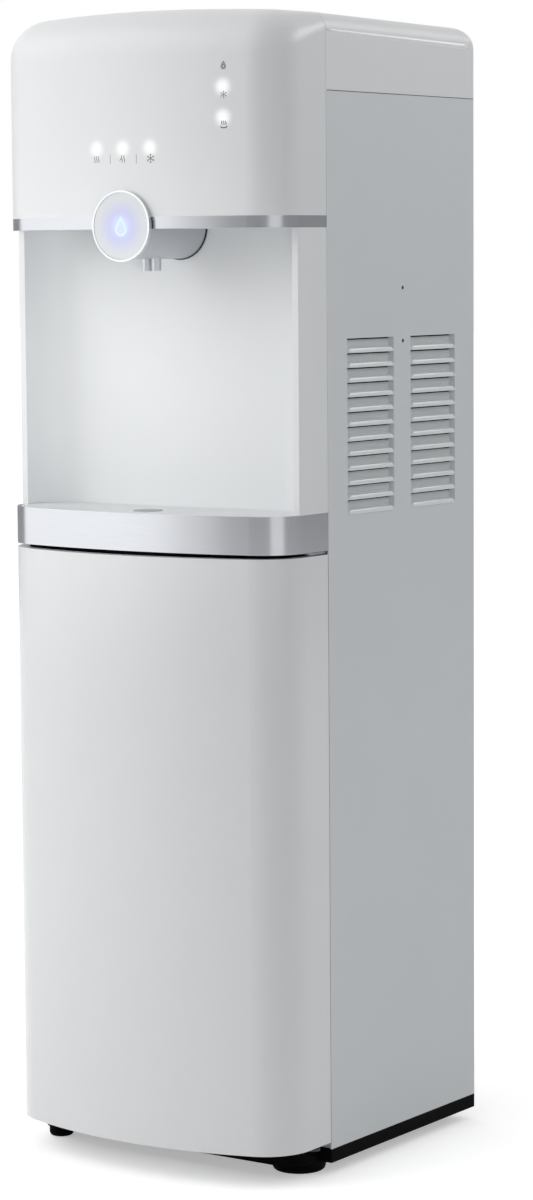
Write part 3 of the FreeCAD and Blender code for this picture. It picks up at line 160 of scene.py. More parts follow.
finishes = {
    # injection-moulded ABS, polished tool: even cool white with a clear, slightly wavy gloss
    "glossWhiteAbs": dict(name="moulded_abs_gloss_white", colour="#EBEDEE", shade="#E9EBEC", patchMm=60,
                          roughness=(0.20, 0.25), ior=1.53, grainMm=9, grainDepthMm=0.01),
    # the same plastic from a satin tool: softer gloss on the cover and inside the niche
    "satinWhiteAbs": dict(name="moulded_abs_satin_white", colour="#EBEDEE", shade="#E9EBEC", patchMm=60,
                          roughness=(0.38, 0.46), ior=1.53, grainMm=5, grainDepthMm=0.01),
    # the same moulding with lamps behind it: painted glow in white patches that fade out over about a centimetre
    "litWhiteAbs": dict(name="moulded_abs_gloss_white_lit", colour="#EBEDEE", shade="#E9EBEC", patchMm=60,
                        roughness=(0.30, 0.36), ior=1.53, grainMm=9, grainDepthMm=0.01,
                        glow=dict(centres=lensCentres, tintMm=(1.0, 12.0), tint="#1A1A1A", litMm=(1.0, 12.0),
                                  colour="#FFFFFF", level=0.95)),
    # backlit ABS button: pale grey, with a violet haze painted into its colour as the backlight's glow, and a
    # white blue heart behind its mark
    "backlitAbs": dict(name="moulded_abs_backlit", colour="#E4E7E9", shade="#E1E4E7", patchMm=30,
                       roughness=(0.28, 0.34), ior=1.53, grainMm=9, grainDepthMm=0.01,
                       glow=dict(centres=[dropCentre], tintMm=(7.0, 31.0), tint="#D3D6F8", litMm=(2.0, 15.0),
                                 colour="#CFE6FF", level=0.20)),
    # light guides: clear acrylic lit from behind, an even pale glow
    "litMark": dict(name="lit_acrylic_mark", colour="#30383A", shade="#2C3436", patchMm=5,
                    roughness=(0.3, 0.4), ior=1.49, grainMm=3, grainDepthMm=0.01,
                    sockets={"Emission Color": linear("#E2FAFF"), "Emission Strength": 0.92}),
    "litLens": dict(name="lit_acrylic_lens", colour="#303234", shade="#2C2E30", patchMm=5,
                    roughness=(0.2, 0.3), ior=1.49, grainMm=3, grainDepthMm=0.01,
                    sockets={"Emission Color": linear("#FFFFFF"), "Emission Strength": 0.94}),
    # screen-printed ink: flat grey with soft edges of wear
    "greyInk": dict(name="screen_printed_ink_grey", colour="#77797C", shade="#85878A", patchMm=2,
                    roughness=(0.45, 0.55), ior=1.5, grainMm=0.6, grainDepthMm=0.01),
    "darkInk": dict(name="screen_printed_ink_dark", colour="#4E5053", shade="#5A5C5F", patchMm=2,
                    roughness=(0.45, 0.55), ior=1.5, grainMm=0.6, grainDepthMm=0.01),
    # powder-coated sheet steel: pale cool grey, soft sheen, fine orange peel
    "powderCoat": dict(name="powder_coated_steel_pale_grey", colour="#DEE2E4", shade="#DBDFE1", patchMm=90,
                       roughness=(0.38, 0.46), ior=1.5, grainMm=2.2, grainDepthMm=0.02),
    # the same paint on pressed edges: lighter as a painted highlight, and glossier
    "highlightPaintedCoat": dict(name="powder_coated_steel_painted_highlight", colour="#F0F3F4", shade="#ECEFF0", patchMm=30,
                     roughness=(0.18, 0.24), ior=1.5, grainMm=2.2, grainDepthMm=0.01),
    # clear lacquer over the cover's raised bead: whiter as a painted highlight, and the coat adds a brighter
    # highlight along it
    "lacqueredAbsPaintedHighlight": dict(name="lacquered_abs_white_painted_highlight", colour="#F2F4F5", shade="#EEF0F1", patchMm=30,
                         roughness=(0.34, 0.40), ior=1.53, grainMm=4, grainDepthMm=0.01,
                         sockets={"Coat Weight": 1.0, "Coat Roughness": 0.34}),
    # satin-anodised aluminium, brushed along its length: very fine lines and a soft, drawn-out highlight
    "brushedSilver": dict(name="brushed_anodised_aluminium", colour="#C2C4C8", shade="#BEC0C4", patchMm=2,
                          roughness=(0.22, 0.25), metallic=1.0, grainMm=0.4, grainDepthMm=0.004,
                          stretch=(0.06, 0.06, 1.0)),
    # metallic lacquer on moulded ABS: satin silver grey
    "silverLacquer": dict(name="satin_silver_lacquer", colour="#C9CCD0", shade="#C3C6CB", patchMm=30,
                          roughness=(0.34, 0.40), metallic=0.6, grainMm=0.8, grainDepthMm=0.01),
    # satin chromium plating: pale metal whose reflections are smeared soft
    "satinChrome": dict(name="satin_chromium_plate", colour="#D6D8DB", shade="#CED0D4", patchMm=8,
                        roughness=(0.42, 0.48), metallic=0.85, grainMm=2, grainDepthMm=0.006),
    # the same plating on the button's ring, brushed finer
    "dullChrome": dict(name="brushed_chromium_plate", colour="#D8DADD", shade="#D2D4D8", patchMm=5,
                       roughness=(0.20, 0.26), metallic=1.0, grainMm=1, grainDepthMm=0.006),
    # spark-eroded black polypropylene: dull, finely pitted, almost no sheen
    "blackPlastic": dict(name="textured_black_polypropylene", colour="#020202", shade="#040404", patchMm=12,
                         roughness=(0.72, 0.84), ior=1.49, grainMm=0.9, grainDepthMm=0.05,
                         sockets={"Specular IOR Level": 0.06}),
    # moulded polystyrene inner liner: pale grey, matt
    "greyLiner": dict(name="moulded_polystyrene_pale_grey", colour="#D4D6D8", shade="#CFD1D3", patchMm=40,
                      roughness=(0.42, 0.52), ior=1.59, grainMm=1.4, grainDepthMm=0.04),
    # hot-dip galvanised sheet: grey spangles a few centimetres wide
    "galvanised": dict(name="galvanised_sheet_steel", colour="#A6A9AC", shade="#8E9296", patchMm=14,
                       roughness=(0.32, 0.55), metallic=0.9, grainMm=18, grainDepthMm=0.03),
    # deep-drawn stainless steel: satin with fine draw lines
    "stainless": dict(name="drawn_stainless_steel", colour="#B9BABB", shade="#AFB0B2", patchMm=10,
                      roughness=(0.24, 0.36), metallic=1.0, grainMm=0.9, grainDepthMm=0.01,
                      stretch=(1, 1, 0.08)),
    # stoved black enamel on steel tube and wire: half gloss
    "blackEnamel": dict(name="stoved_black_enamel", colour="#0E0E0F", shade="#141415", patchMm=15,
                        roughness=(0.28, 0.42), ior=1.5, grainMm=1.6, grainDepthMm=0.03),
    # vulcanised rubber: dull black with a grey bloom
    "rubber": dict(name="vulcanised_rubber", colour="#1A1A1B", shade="#232324", patchMm=9,
                   roughness=(0.62, 0.78), ior=1.52, grainMm=1.0, grainDepthMm=0.05),
    # expanded polystyrene: off-white beads three millimetres wide
    "beadFoam": dict(name="expanded_polystyrene", colour="#E6E5DF", shade="#D6D5CE", patchMm=3,
                     roughness=(0.7, 0.85), ior=1.5, grainMm=3, grainDepthMm=0.3),
    # natural acetal and nylon fittings: milky, soft gloss
    "naturalNylon": dict(name="natural_nylon_fittings", colour="#DEDCD3", shade="#D4D2C8", patchMm=20,
                         roughness=(0.35, 0.48), ior=1.53, grainMm=2, grainDepthMm=0.03),
    # drawn copper tube: warm, slightly tarnished
    "copper": dict(name="drawn_copper", colour="#C0794F", shade="#9C5D3D", patchMm=16, roughness=(0.24, 0.42),
                   metallic=1.0, grainMm=1.2, grainDepthMm=0.01),
    # glass-epoxy board under green solder mask
    "circuitBoard": dict(name="solder_masked_board", colour="#0F4A2A", shade="#156237", patchMm=5,
                         roughness=(0.30, 0.45), ior=1.52, grainMm=1.0, grainDepthMm=0.05),
    # moulded nylon rockers, half gloss
    "redNylon": dict(name="moulded_red_nylon", colour="#A3201B", shade="#931B17", patchMm=10,
                     roughness=(0.28, 0.36), ior=1.53, grainMm=1.2, grainDepthMm=0.02),
    "greenNylon": dict(name="moulded_green_nylon", colour="#1E7A3C", shade="#1A6C35", patchMm=10,
                       roughness=(0.28, 0.36), ior=1.53, grainMm=1.2, grainDepthMm=0.02),
    # moulded ABS tray parts with a light texture: a pale perforated sheet over a tray painted mid grey as the
    # shade seen through its holes
    "sheetAbs": dict(name="textured_abs_pale", colour="#E8EAEB", shade="#E4E6E8", patchMm=18,
                     roughness=(0.30, 0.38), ior=1.53, grainMm=1.2, grainDepthMm=0.03),
    "paintedShadeTrayAbs": dict(name="textured_abs_grey_painted_shade", colour="#8E9195", shade="#888B90", patchMm=18,
                    roughness=(0.34, 0.42), ior=1.53, grainMm=1.2, grainDepthMm=0.03),
    # cellular rubber strip: deep matt black, worn by the strips that stand in for shade in the door gap and behind
    # the louvres
    "blackFoam": dict(name="cellular_rubber_black", colour="#030303", shade="#050505", patchMm=4,
                      roughness=(0.85, 0.95), ior=1.5, grainMm=0.8, grainDepthMm=0.08,
                      sockets={"Specular IOR Level": 0.05}),
    # moulded silicone splash insert, grey green
    "splashSilicone": dict(name="moulded_silicone_grey_green", colour="#A9B3B0", shade="#9FA9A6", patchMm=6,
                           roughness=(0.40, 0.50), ior=1.43, grainMm=0.8, grainDepthMm=0.03),
}
materials = {key: finish(spec) for key, spec in finishes.items()}

wearing = {
    "glossWhiteAbs": ["door_panel", "tray_carrier"],
    "satinWhiteAbs": ["top_cover", "niche_liner"],
    "litWhiteAbs": ["head_cover"],
    "backlitAbs": ["dispense_button"],
    "litMark": ["button_drop"],
    "litLens": ["indicator_lenses"],
    "powderCoat": ["right_side_panel", "left_side_panel"],
    "brushedSilver": ["head_trim_strip", "tray_trim"],
    "silverLacquer": ["spout_housing"],
    "satinChrome": ["hot_nozzle", "cold_nozzle"],
    "dullChrome": ["button_bezel"],
    "blackPlastic": ["base_plinth", "feet", "switch_plate", "power_inlet", "button_switch", "magnet_catch",
                     "drain_cap"],
    "greyLiner": ["door_inner_panel", "bottle_platform", "suction_lance", "lance_clip"],
    "galvanised": ["rear_panel", "mid_deck", "tank_shelf", "front_crossbar", "upper_hinge", "door_strike"],
    "stainless": ["hot_tank", "cold_tank", "heater_band"],
    "blackEnamel": ["compressor", "condenser_tube", "condenser_rack", "panel_screws", "lower_hinge"],
    "rubber": ["compressor_mounts", "suction_hose"],
    "beadFoam": ["hot_tank_insulation", "cold_tank_insulation"],
    "naturalNylon": ["tank_lid", "tank_float", "water_pump", "solenoid_valves", "drain_spout"],
    "copper": ["evaporator", "filter_drier", "refrigerant_pipes"],
    "circuitBoard": ["control_board", "power_board"],
    "redNylon": ["hot_switch"],
    "greenNylon": ["cold_switch"],
    "paintedShadeTrayAbs": ["drip_tray"],
    "sheetAbs": ["drip_grille"],
    "splashSilicone": ["splash_disc"],
}
for key, names in wearing.items():
    for name in names:
        slots = nodes[name].data.materials
        for index in range(len(slots)):
            slots[index] = materials[key]

# Small radii that catch the light on turned edges: node and width in millimetres
edgeRadii = {"button_bezel": 0.2, "hot_nozzle": 0.5, "cold_nozzle": 0.5, "splash_disc": 0.6}
for name, width in edgeRadii.items():
    bevel = nodes[name].modifiers.new("edge_radius", "BEVEL")
    bevel.width = width * mm
    bevel.segments = 3
    bevel.limit_method = "ANGLE"
    bevel.angle_limit = math.radians(50)
print("finishes on CAD nodes:", sum(len(names) for names in wearing.values()))


def addPiece(name, mesh, finishKey, body):
    piece = bpy.data.objects.new(name, mesh)
    scene.collection.objects.link(piece)
    mesh.materials.append(materials[finishKey])
    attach(piece, body)
    return piece


def meshFrom(bm, name):
    mesh = bpy.data.meshes.new(name)
    bm.to_mesh(mesh)
    bm.free()
    return mesh


# Signs printed on the head: heat, room and cold under the lamp row, and a column at the right
headShell = surfaceOf("head_cover")
signSpec = dict(strokeMm=0.8, dropStrokeMm=0.7, bowlStrokeMm=1.0, dividerStrokeMm=0.5, armShare=0.07,
                twigShare=0.048, liftMm=0.04, smallMm=6.6, dropMm=6.8, largeMm=8.4, rowZ=950.3, columnX=106.9)


def onHead(x, z):
    return onFront(headShell, x, z) - Vector((0, signSpec["liftMm"] * mm, 0))


def printStroke(bm, centre, points, closed=False, width=signSpec["strokeMm"]):
    count = len(points)
    rims = []
    for i, (x, z) in enumerate(points):
        before = points[i - 1] if i or closed else points[i]
        after = points[(i + 1) % count] if i < count - 1 or closed else points[i]
        along = Vector((after[0] - before[0], after[1] - before[1])).normalized() * width / 2
        spots = [(centre[0] + x - s * along.y, centre[1] + z + s * along.x) for s in (-1, 1)]
        rims.append([bm.verts.new(onHead(*spot)) for spot in spots])
    for i in range(count if closed else count - 1):
        a, b = rims[i], rims[(i + 1) % count]
        bm.faces.new((a[0], b[0], b[1], a[1]))


def waveLine(x, low, high, sway):
    return [(x + sway * math.sin(2 * math.pi * i / 12), low + (high - low) * i / 12) for i in range(13)]


def heatSign(bm, centre, size):
    for x in (-0.36, 0, 0.36):
        printStroke(bm, centre, waveLine(x * size, -0.42 * size, 0.46 * size, 0.09 * size))


def roomSign(bm, centre, size):
    for x in (-0.1, 0.3):
        printStroke(bm, centre, waveLine(x * size, -0.46 * size, 0.5 * size, 0.08 * size))
    printStroke(bm, centre, [(-0.5 * size, -0.22 * size), (-0.2 * size, 0.1 * size)])


def coldSign(bm, centre, size):
    for k in range(6):
        turn = math.radians(60 * k + 30)
        arm = Vector((math.cos(turn), math.sin(turn)))
        printStroke(bm, centre, [(0, 0), tuple(arm * 0.5 * size)], width=signSpec["armShare"] * size)
        for bend in (-50, 50):
            twig = Matrix.Rotation(math.radians(bend), 2) @ arm
            foot = arm * 0.34 * size
            printStroke(bm, centre, [tuple(foot), tuple(foot + twig * 0.15 * size)],
                        width=signSpec["twigShare"] * size)


def waterSign(bm, centre, size):
    for grow in (1.0, 0.5):
        outline = []
        for i in range(28):
            t = 2 * math.pi * i / 28
            outline.append((-0.36 * size * grow * math.sin(t) * math.sin(t / 2) ** 1.4 * 1.2,
                            0.5 * size * grow * math.cos(t) - 0.14 * size * (1 - grow)))
        printStroke(bm, centre, outline, closed=True, width=signSpec["dropStrokeMm"])


def steamSign(bm, centre, size):
    for x in (-0.3, 0, 0.3):
        printStroke(bm, centre, waveLine(x * size, -0.05 * size, 0.5 * size, 0.06 * size))
    bowl = ((-0.5, -0.2), (-0.3, -0.42), (0.3, -0.42), (0.5, -0.2))
    printStroke(bm, centre, [(x * size, z * size) for x, z in bowl], width=signSpec["bowlStrokeMm"])


def dividerSign(bm, centre, size):
    printStroke(bm, centre, [(0, -size / 2), (0, size / 2)], width=signSpec["dividerStrokeMm"])


rowZ, columnX, small, large = (signSpec[key] for key in ("rowZ", "columnX", "smallMm", "largeMm"))
paleSigns = [(heatSign, (-30.3, rowZ), small), (roomSign, (0, rowZ), small),
             (dividerSign, (-14.2, rowZ), large), (dividerSign, (15.5, rowZ), large)]
darkSigns = [(coldSign, (31.3, rowZ), large), (waterSign, (columnX, 1032), signSpec["dropMm"]),
             (coldSign, (columnX, 1005.8), small), (steamSign, (columnX, 979.0), small)]
for name, signs, ink in (("signs_pale", paleSigns, "greyInk"), ("signs_dark", darkSigns, "darkInk")):
    bm = bmesh.new()
    for draw, centre, size in signs:
        draw(bm, centre, size)
    addPiece(name, meshFrom(bm, name), ink, "cabinet")
print("signs printed:", len(paleSigns) + len(darkSigns))


# Filled outlines with holes, given a thickness and a small edge radius
def plateMesh(name, loops, top, thick, edgeMm):
    curve = bpy.data.curves.new(name, "CURVE")
    curve.dimensions = "2D"
    curve.fill_mode = "BOTH"
    curve.extrude = thick / 2 - edgeMm * mm
    curve.bevel_depth = edgeMm * mm
    curve.bevel_resolution = 1
    curve.offset = -edgeMm * mm
    for loop in loops:
        spline = curve.splines.new("POLY")
        spline.points.add(len(loop) - 1)
        for point, (x, y) in zip(spline.points, loop):
            point.co = (x, y, 0, 1)
        spline.use_cyclic_u = True
    shape = bpy.data.objects.new(name, curve)
    mesh = bpy.data.meshes.new_from_object(shape)
    bpy.data.objects.remove(shape)
    bpy.data.curves.remove(curve)
    mesh.transform(Matrix.Translation((0, 0, top - thick / 2)))
    return mesh


def planOutline(name):
    flat = [v.co.to_2d() for v in nodes[name].data.vertices]
    hull = [flat[i] for i in convex_hull_2d(flat)]
    return [point for i, point in enumerate(hull) if (point - hull[i - 1]).length > 0.1 * mm]


def inward(loop, distance):
    moved = []
    for i, point in enumerate(loop):
        along = (loop[(i + 1) % len(loop)] - loop[i - 1]).normalized()
        moved.append(point + Vector((-along.y, along.x)) * distance)
    return moved


# Drip grille: a perforated sheet on a skirt, plain under the splash disc
grilleSpec = dict(clearMm=0.2, pitchMm=5.0, holeMm=3.1, holeSides=10, firstRow=0.9, thickMm=2.5, edgeMm=0.2,
                  skirtMm=5.0, skirtInMm=0.6, wallMm=2.0, marginMm=5.5)


def addGrille(spec):
    outline = inward(planOutline("drip_grille"), spec["clearMm"] * mm)
    field = inward(outline, spec["marginMm"] * mm)
    low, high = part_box("drip_grille")
    splash = boxCentre("splash_disc").to_2d()
    splashRadius = (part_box("splash_disc")[1].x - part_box("splash_disc")[0].x) / 2 + spec["holeMm"] * mm
    pitch, radius = spec["pitchMm"] * mm, spec["holeMm"] * mm / 2
    loops = [outline]
    columns = int((high.x - low.x) / pitch / 2)
    rows = int((high.y - low.y) / pitch) + 1
    for row in range(rows):
        for column in range(-columns, columns + 1):
            spot = Vector((column * pitch, high.y - (row + spec["firstRow"]) * pitch))
            sides = [(b - a).cross(spot - a) for a, b in zip(field, field[1:] + field[:1])]
            if min(sides) > 0 and (spot - splash).length > splashRadius:
                loops.append([spot + Vector(corner) * radius for corner in roundPoints(spec["holeSides"])])
    sheet = plateMesh("drip_grille_sheet", loops, high.z, spec["thickMm"] * mm, spec["edgeMm"])
    rim = inward(outline, (spec["wallMm"] + spec["skirtInMm"]) * mm)
    skirt = plateMesh("skirt", [rim, inward(rim, spec["wallMm"] * mm)], high.z - spec["thickMm"] * mm,
                      spec["skirtMm"] * mm, spec["edgeMm"])
    bm = bmesh.new()
    bm.from_mesh(sheet)
    bm.from_mesh(skirt)
    bm.to_mesh(sheet)
    bm.free()
    bpy.data.meshes.remove(skirt)
    piece = addPiece("drip_grille_sheet", sheet, "sheetAbs", "drip_grille")
    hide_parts("drip_grille")
    return len(loops) - 1


print("grille holes:", addGrille(grilleSpec))


# Runs of a rounded section along points: a bead, gasket or trim
def runMesh(name, runs):
    bm = bmesh.new()
    for path, sections in runs:
        rings = [[bm.verts.new(place + Vector(offset)) for offset in section]
                 for place, section in zip(path, sections)]
        size = len(rings[0])
        for a, b in zip(rings, rings[1:]):
            for k in range(size):
                bm.faces.new((a[k], a[(k + 1) % size], b[(k + 1) % size], b[k]))
        bm.faces.new(rings[0])
        bm.faces.new(rings[-1])
    bmesh.ops.recalc_face_normals(bm, faces=bm.faces)
    for face in bm.faces:
        face.smooth = len(face.verts) == 4
    return meshFrom(bm, name)


# Bead along the upper side edges of the top cover, growing towards the rear
beadSpec = dict(frontZ=1065.2, rearZ=1060.4, frontMm=1.3, rearMm=3.4, frontGapMm=1.5, rearGapMm=12, sink=0.4,
                flat=0.75, steps=24, sides=16)


def addBead(side, spec):
    path, sections = [], []
    last = rearY - spec["rearGapMm"] * mm
    for i in range(spec["steps"] + 1):
        t = i / spec["steps"]
        radius = (spec["frontMm"] + (spec["rearMm"] - spec["frontMm"]) * t) * mm
        level = (spec["frontZ"] + (spec["rearZ"] - spec["frontZ"]) * t) * mm
        along = seamY + spec["frontGapMm"] * mm + (last - seamY) * t
        path.append(Vector((side * (halfWidth - spec["sink"] * radius), along, level)))
        sections.append([(radius * spec["flat"] * c, 0, radius * s) for c, s in roundPoints(spec["sides"])])
    name = sided("cover_bead", side)
    # the bead's whiter colour is a painted highlight
    addPiece(name, runMesh(name, [(path, sections)]), "lacqueredAbsPaintedHighlight", "cabinet")


for side in (-1, 1):
    addBead(side, beadSpec)


# Soft black gasket on top of the door, set back from its front and carried round both corners; its black is
# painted shade for the gap above the door
gapShadeGasketSpec = dict(setbackMm=14.0, heightMm=3.1, widthMm=5.0, bowMm=390.0, cornerMm=48.0, sideMm=34.0,
                  bowSteps=16, cornerSteps=12, profile=((-1, 0), (-1, 0.7), (-0.6, 1), (0.6, 1), (1, 0.7), (1, 0)))


def doorLine(spec):
    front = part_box("door_panel")[0].y / mm
    side = halfWidth / mm
    bow, corner, setback = spec["bowMm"], spec["cornerMm"], spec["setbackMm"]
    bowY = front + bow
    cornerX = side - corner
    cornerY = bowY - math.sqrt((bow - corner) ** 2 - cornerX ** 2)
    turnEnd = math.asin(cornerX / (bow - corner))
    half = []
    for i in range(spec["bowSteps"] + 1):
        turn = turnEnd * i / spec["bowSteps"]
        half.append((math.sin(turn) * (bow - setback), bowY - math.cos(turn) * (bow - setback)))
    for i in range(1, spec["cornerSteps"] + 1):
        turn = turnEnd + (math.pi / 2 - turnEnd) * i / spec["cornerSteps"]
        radius = corner - setback
        half.append((cornerX + math.sin(turn) * radius, cornerY - math.cos(turn) * radius))
    half.append((side - setback, cornerY + spec["sideMm"]))
    return [Vector((-x, y)) * mm for x, y in reversed(half[1:])] + [Vector((x, y)) * mm for x, y in half]


def addGapShadeGasket(spec):
    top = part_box("door_panel")[1].z
    line = doorLine(spec)
    path, sections = [], []
    w, h = spec["widthMm"] * mm / 2, spec["heightMm"] * mm
    for i, place in enumerate(line):
        along = (line[min(i + 1, len(line) - 1)] - line[max(i - 1, 0)]).normalized()
        across = Vector((-along.y, along.x)) * w
        path.append(Vector((place.x, place.y, top)))
        sections.append([(across.x * s, across.y * s, h * rise) for s, rise in spec["profile"]])
    addPiece("door_gap_shade_gasket", runMesh("door_gap_shade_gasket", [(path, sections)]), "blackFoam", "door")


addGapShadeGasket(gapShadeGasketSpec)


# Dark rubber strips as painted shade lines: round the spout housing at the back of the niche, and along the joint
# under the top cover
shadeSealSpec = dict(ringMm=0.8, ringOutMm=0.3, jointMm=0.35, jointOutMm=0.12, endGapMm=1.0, steps=40, sides=10)


def addShadeSeals(spec):
    low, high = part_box("spout_housing")
    centre, radius = (low + high) / 2, (high.x - low.x) / 2
    ring = roundPoints(spec["sides"])
    thick, gap = spec["ringMm"] * mm, spec["endGapMm"] * mm
    path, sections = [], []
    for i in range(spec["steps"] + 1):
        turn = math.pi * (1 + i / spec["steps"])
        outward = Vector((math.cos(turn), 0, math.sin(turn)))
        start = Vector((centre.x, high.y - thick, centre.z))
        path.append(start + outward * (radius + spec["ringOutMm"] * mm))
        sections.append([outward * c * thick + Vector((0, s * thick, 0)) for c, s in ring])
    addPiece("housing_shade_ring", runMesh("housing_shade_ring", [(path, sections)]), "rubber", "cabinet")
    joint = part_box("right_side_panel")[1].z
    for side in (-1, 1):
        path = [Vector((side * halfWidth, y, joint)) for y in (seamY + gap, rearY - gap)]
        sections = [[(c * spec["jointOutMm"] * mm, 0, s * spec["jointMm"] * mm) for c, s in ring]] * 2
        name = sided("cover_joint_shade_strip", side)
        addPiece(name, runMesh(name, [(path, sections)]), "rubber", "cabinet")


addShadeSeals(shadeSealSpec)


# Rolled lip under each louvre: its upper slope catches the light, its undercut throws a thin shadow
lipSpec = dict(topZ=784.4, pitchMm=13.64, heightMm=11.2, rows=12, lengthMm=81.0, startsMm=(33.0, 143.5),
               dropMm=1.0, insetMm=1.0, endMm=4.0, endShare=0.3,
               profile=((-0.4, 3.3), (0.2, 3.0), (0.8, 1.8), (1.2, 0.5), (1.4, -0.6), (1.3, -1.1), (0.9, -1.3),
                        (-0.4, -1.2)))    # outward and upward, in millimetres


def addLips(side, spec):
    runs = []
    length, end, thin = spec["lengthMm"] - 2 * spec["insetMm"], spec["endMm"], spec["endShare"]
    for start in spec["startsMm"]:
        for row in range(spec["rows"]):
            level = (spec["topZ"] - spec["heightMm"] - row * spec["pitchMm"] - spec["dropMm"]) * mm
            path, sections = [], []
            for along, share in ((0, thin), (end, 1), (length - end, 1), (length, thin)):
                path.append(Vector((side * halfWidth, seamY + (start + spec["insetMm"] + along) * mm, level)))
                scale = share * mm
                sections.append([(side * out * scale, 0, up * scale) for out, up in spec["profile"]])
            runs.append((path, sections))
    name = sided("louvre_lips", side)
    # the lips wear the lighter coat, a painted highlight along each louvre
    addPiece(name, runMesh(name, runs), "highlightPaintedCoat", "cabinet")


for side in (-1, 1):
    addLips(side, lipSpec)


# Black felt behind each column of louvres: painted shade, so the slots read dark
shadeFeltSpec = dict(insetMm=7.2, thickMm=1.6, edgeMm=0.5, lowZ=621.0, highZ=788.0, frontMm=28.0, rearMm=32.0)


def addShadeFelt(side, spec):
    x0 = side * (halfWidth - spec["insetMm"] * mm)
    x1 = x0 - side * spec["thickMm"] * mm
    bm = bmesh.new()
    bmesh.ops.create_cube(bm, size=1.0)
    low = Vector((min(x0, x1), seamY + spec["frontMm"] * mm, spec["lowZ"] * mm))
    high = Vector((max(x0, x1), rearY - spec["rearMm"] * mm, spec["highZ"] * mm))
    for vert in bm.verts:
        vert.co = Vector([low[i] + (vert.co[i] + 0.5) * (high[i] - low[i]) for i in range(3)])
    bmesh.ops.bevel(bm, geom=bm.edges[:], offset=spec["edgeMm"] * mm, segments=2, affect="EDGES")
    name = sided("louvre_shade_felt", side)
    addPiece(name, meshFrom(bm, name), "blackFoam", "cabinet")


for side in (-1, 1):
    addShadeFelt(side, shadeFeltSpec)
print("beads, gasket, seals, lips and felts added")


# Camera at the photograph's viewing angle: lens and shift for a 533 x 1200 frame
cameraSpec = dict(place=(1.9094, seamY - 2.6522, 0.8630), azimuth=34.687, pitch=6.034, roll=-0.44,
                  focalPx=3452.858, centrePx=(251.371, 618.923), framePx=(533, 1200))


def addCamera(spec):
    az, pitch, roll = (math.radians(spec[k]) for k in ("azimuth", "pitch", "roll"))
    right = Vector((math.cos(az), math.sin(az), 0))
    ahead = Vector((-math.sin(az) * math.cos(pitch), math.cos(az) * math.cos(pitch), -math.sin(pitch)))
    up = right.cross(ahead)
    across = right * math.cos(roll) + up * math.sin(roll)
    above = up * math.cos(roll) - right * math.sin(roll)
    width, height = spec["framePx"]
    data = bpy.data.cameras.new("camera")
    data.sensor_width = 36.0
    data.lens = spec["focalPx"] * data.sensor_width / height
    data.shift_x = (width / 2 - spec["centrePx"][0]) / height
    data.shift_y = (spec["centrePx"][1] - height / 2) / height
    data.clip_end = 50.0
    camera = bpy.data.objects.new("camera", data)
    axes = Matrix((across, above, -ahead)).transposed().to_4x4()
    camera.matrix_world = Matrix.Translation(spec["place"]) @ axes
    scene.collection.objects.link(camera)
    scene.camera = camera


addCamera(cameraSpec)


# Stage: white floor that keeps its shadow, with a painted contact shadow near the object, even white surround,
# soft boxes and grey cards
stageSpec = dict(floor="#E6E6E6", floorReachM=30.0, liftNear=0.64, liftFar=0.74, nearM=0.5, farM=3.0,
                 paintedShadowMm=140, paintedShadowShare=0.4, ambient=0.585, overhead=0.40, card="#D0D0D2", cardRadiusM=2.3,
                 cardLowM=0.3, cardHighM=1.6, cardSteps=12)


def seenRays(tree):
    rays = addNode(tree, "ShaderNodeLightPath")
    seen = rays.outputs["Is Camera Ray"]
    for other in ("Is Glossy Ray", "Is Transmission Ray"):
        either = addNode(tree, "ShaderNodeMath", {0: seen, 1: rays.outputs[other]}, operation="MAXIMUM")
        seen = either.outputs[0]
    return seen


def plainMaterial(name, colour):
    material = bpy.data.materials.new(name)
    material.use_nodes = True
    tree = material.node_tree
    tree.nodes.remove(tree.nodes["Principled BSDF"])
    paper = addNode(tree, "ShaderNodeBsdfDiffuse", {"Color": linear(colour)})
    tree.links.new(paper.outputs[0], tree.nodes["Material Output"].inputs["Surface"])
    return material, paper


def addFloor(spec):
    mesh = bpy.data.meshes.new("floor")
    reach = spec["floorReachM"]
    corners = [(x * reach, y * reach, 0) for x, y in ((-1, -1), (1, -1), (1, 1), (-1, 1))]
    mesh.from_pydata(corners, [], [(0, 1, 2, 3)])
    floor = bpy.data.objects.new("floor", mesh)
    scene.collection.objects.link(floor)
    material, paper = plainMaterial("white_paper_sweep", spec["floor"])
    tree = material.node_tree
    # painted contact shadow: ambient occlusion dims the camera-seen white lift near the object
    shade = addNode(tree, "ShaderNodeAmbientOcclusion", {"Distance": spec["paintedShadowMm"] * mm}, samples=16)
    soft = addNode(tree, "ShaderNodeMapRange", {"Value": shade.outputs["AO"], "To Max": 1.0,
                                                "To Min": 1 - spec["paintedShadowShare"]})
    lift = addNode(tree, "ShaderNodeMath", {0: seenRays(tree), 1: soft.outputs["Result"]},
                   operation="MULTIPLY")
    spot = addNode(tree, "ShaderNodeNewGeometry")
    away = addNode(tree, "ShaderNodeVectorMath", {0: spot.outputs["Position"]}, operation="LENGTH")
    fade = addNode(tree, "ShaderNodeMapRange", {"Value": away.outputs["Value"], "From Min": spec["nearM"],
                                                "From Max": spec["farM"], "To Min": spec["liftNear"],
                                                "To Max": spec["liftFar"]})
    level = addNode(tree, "ShaderNodeMath", {0: lift.outputs[0], 1: fade.outputs["Result"]},
                    operation="MULTIPLY")
    glow = addNode(tree, "ShaderNodeEmission", {"Color": (1, 1, 1, 1), "Strength": level.outputs[0]})
    both = addNode(tree, "ShaderNodeAddShader", {0: paper.outputs[0], 1: glow.outputs[0]})
    tree.links.new(both.outputs[0], tree.nodes["Material Output"].inputs["Surface"])
    mesh.materials.append(material)


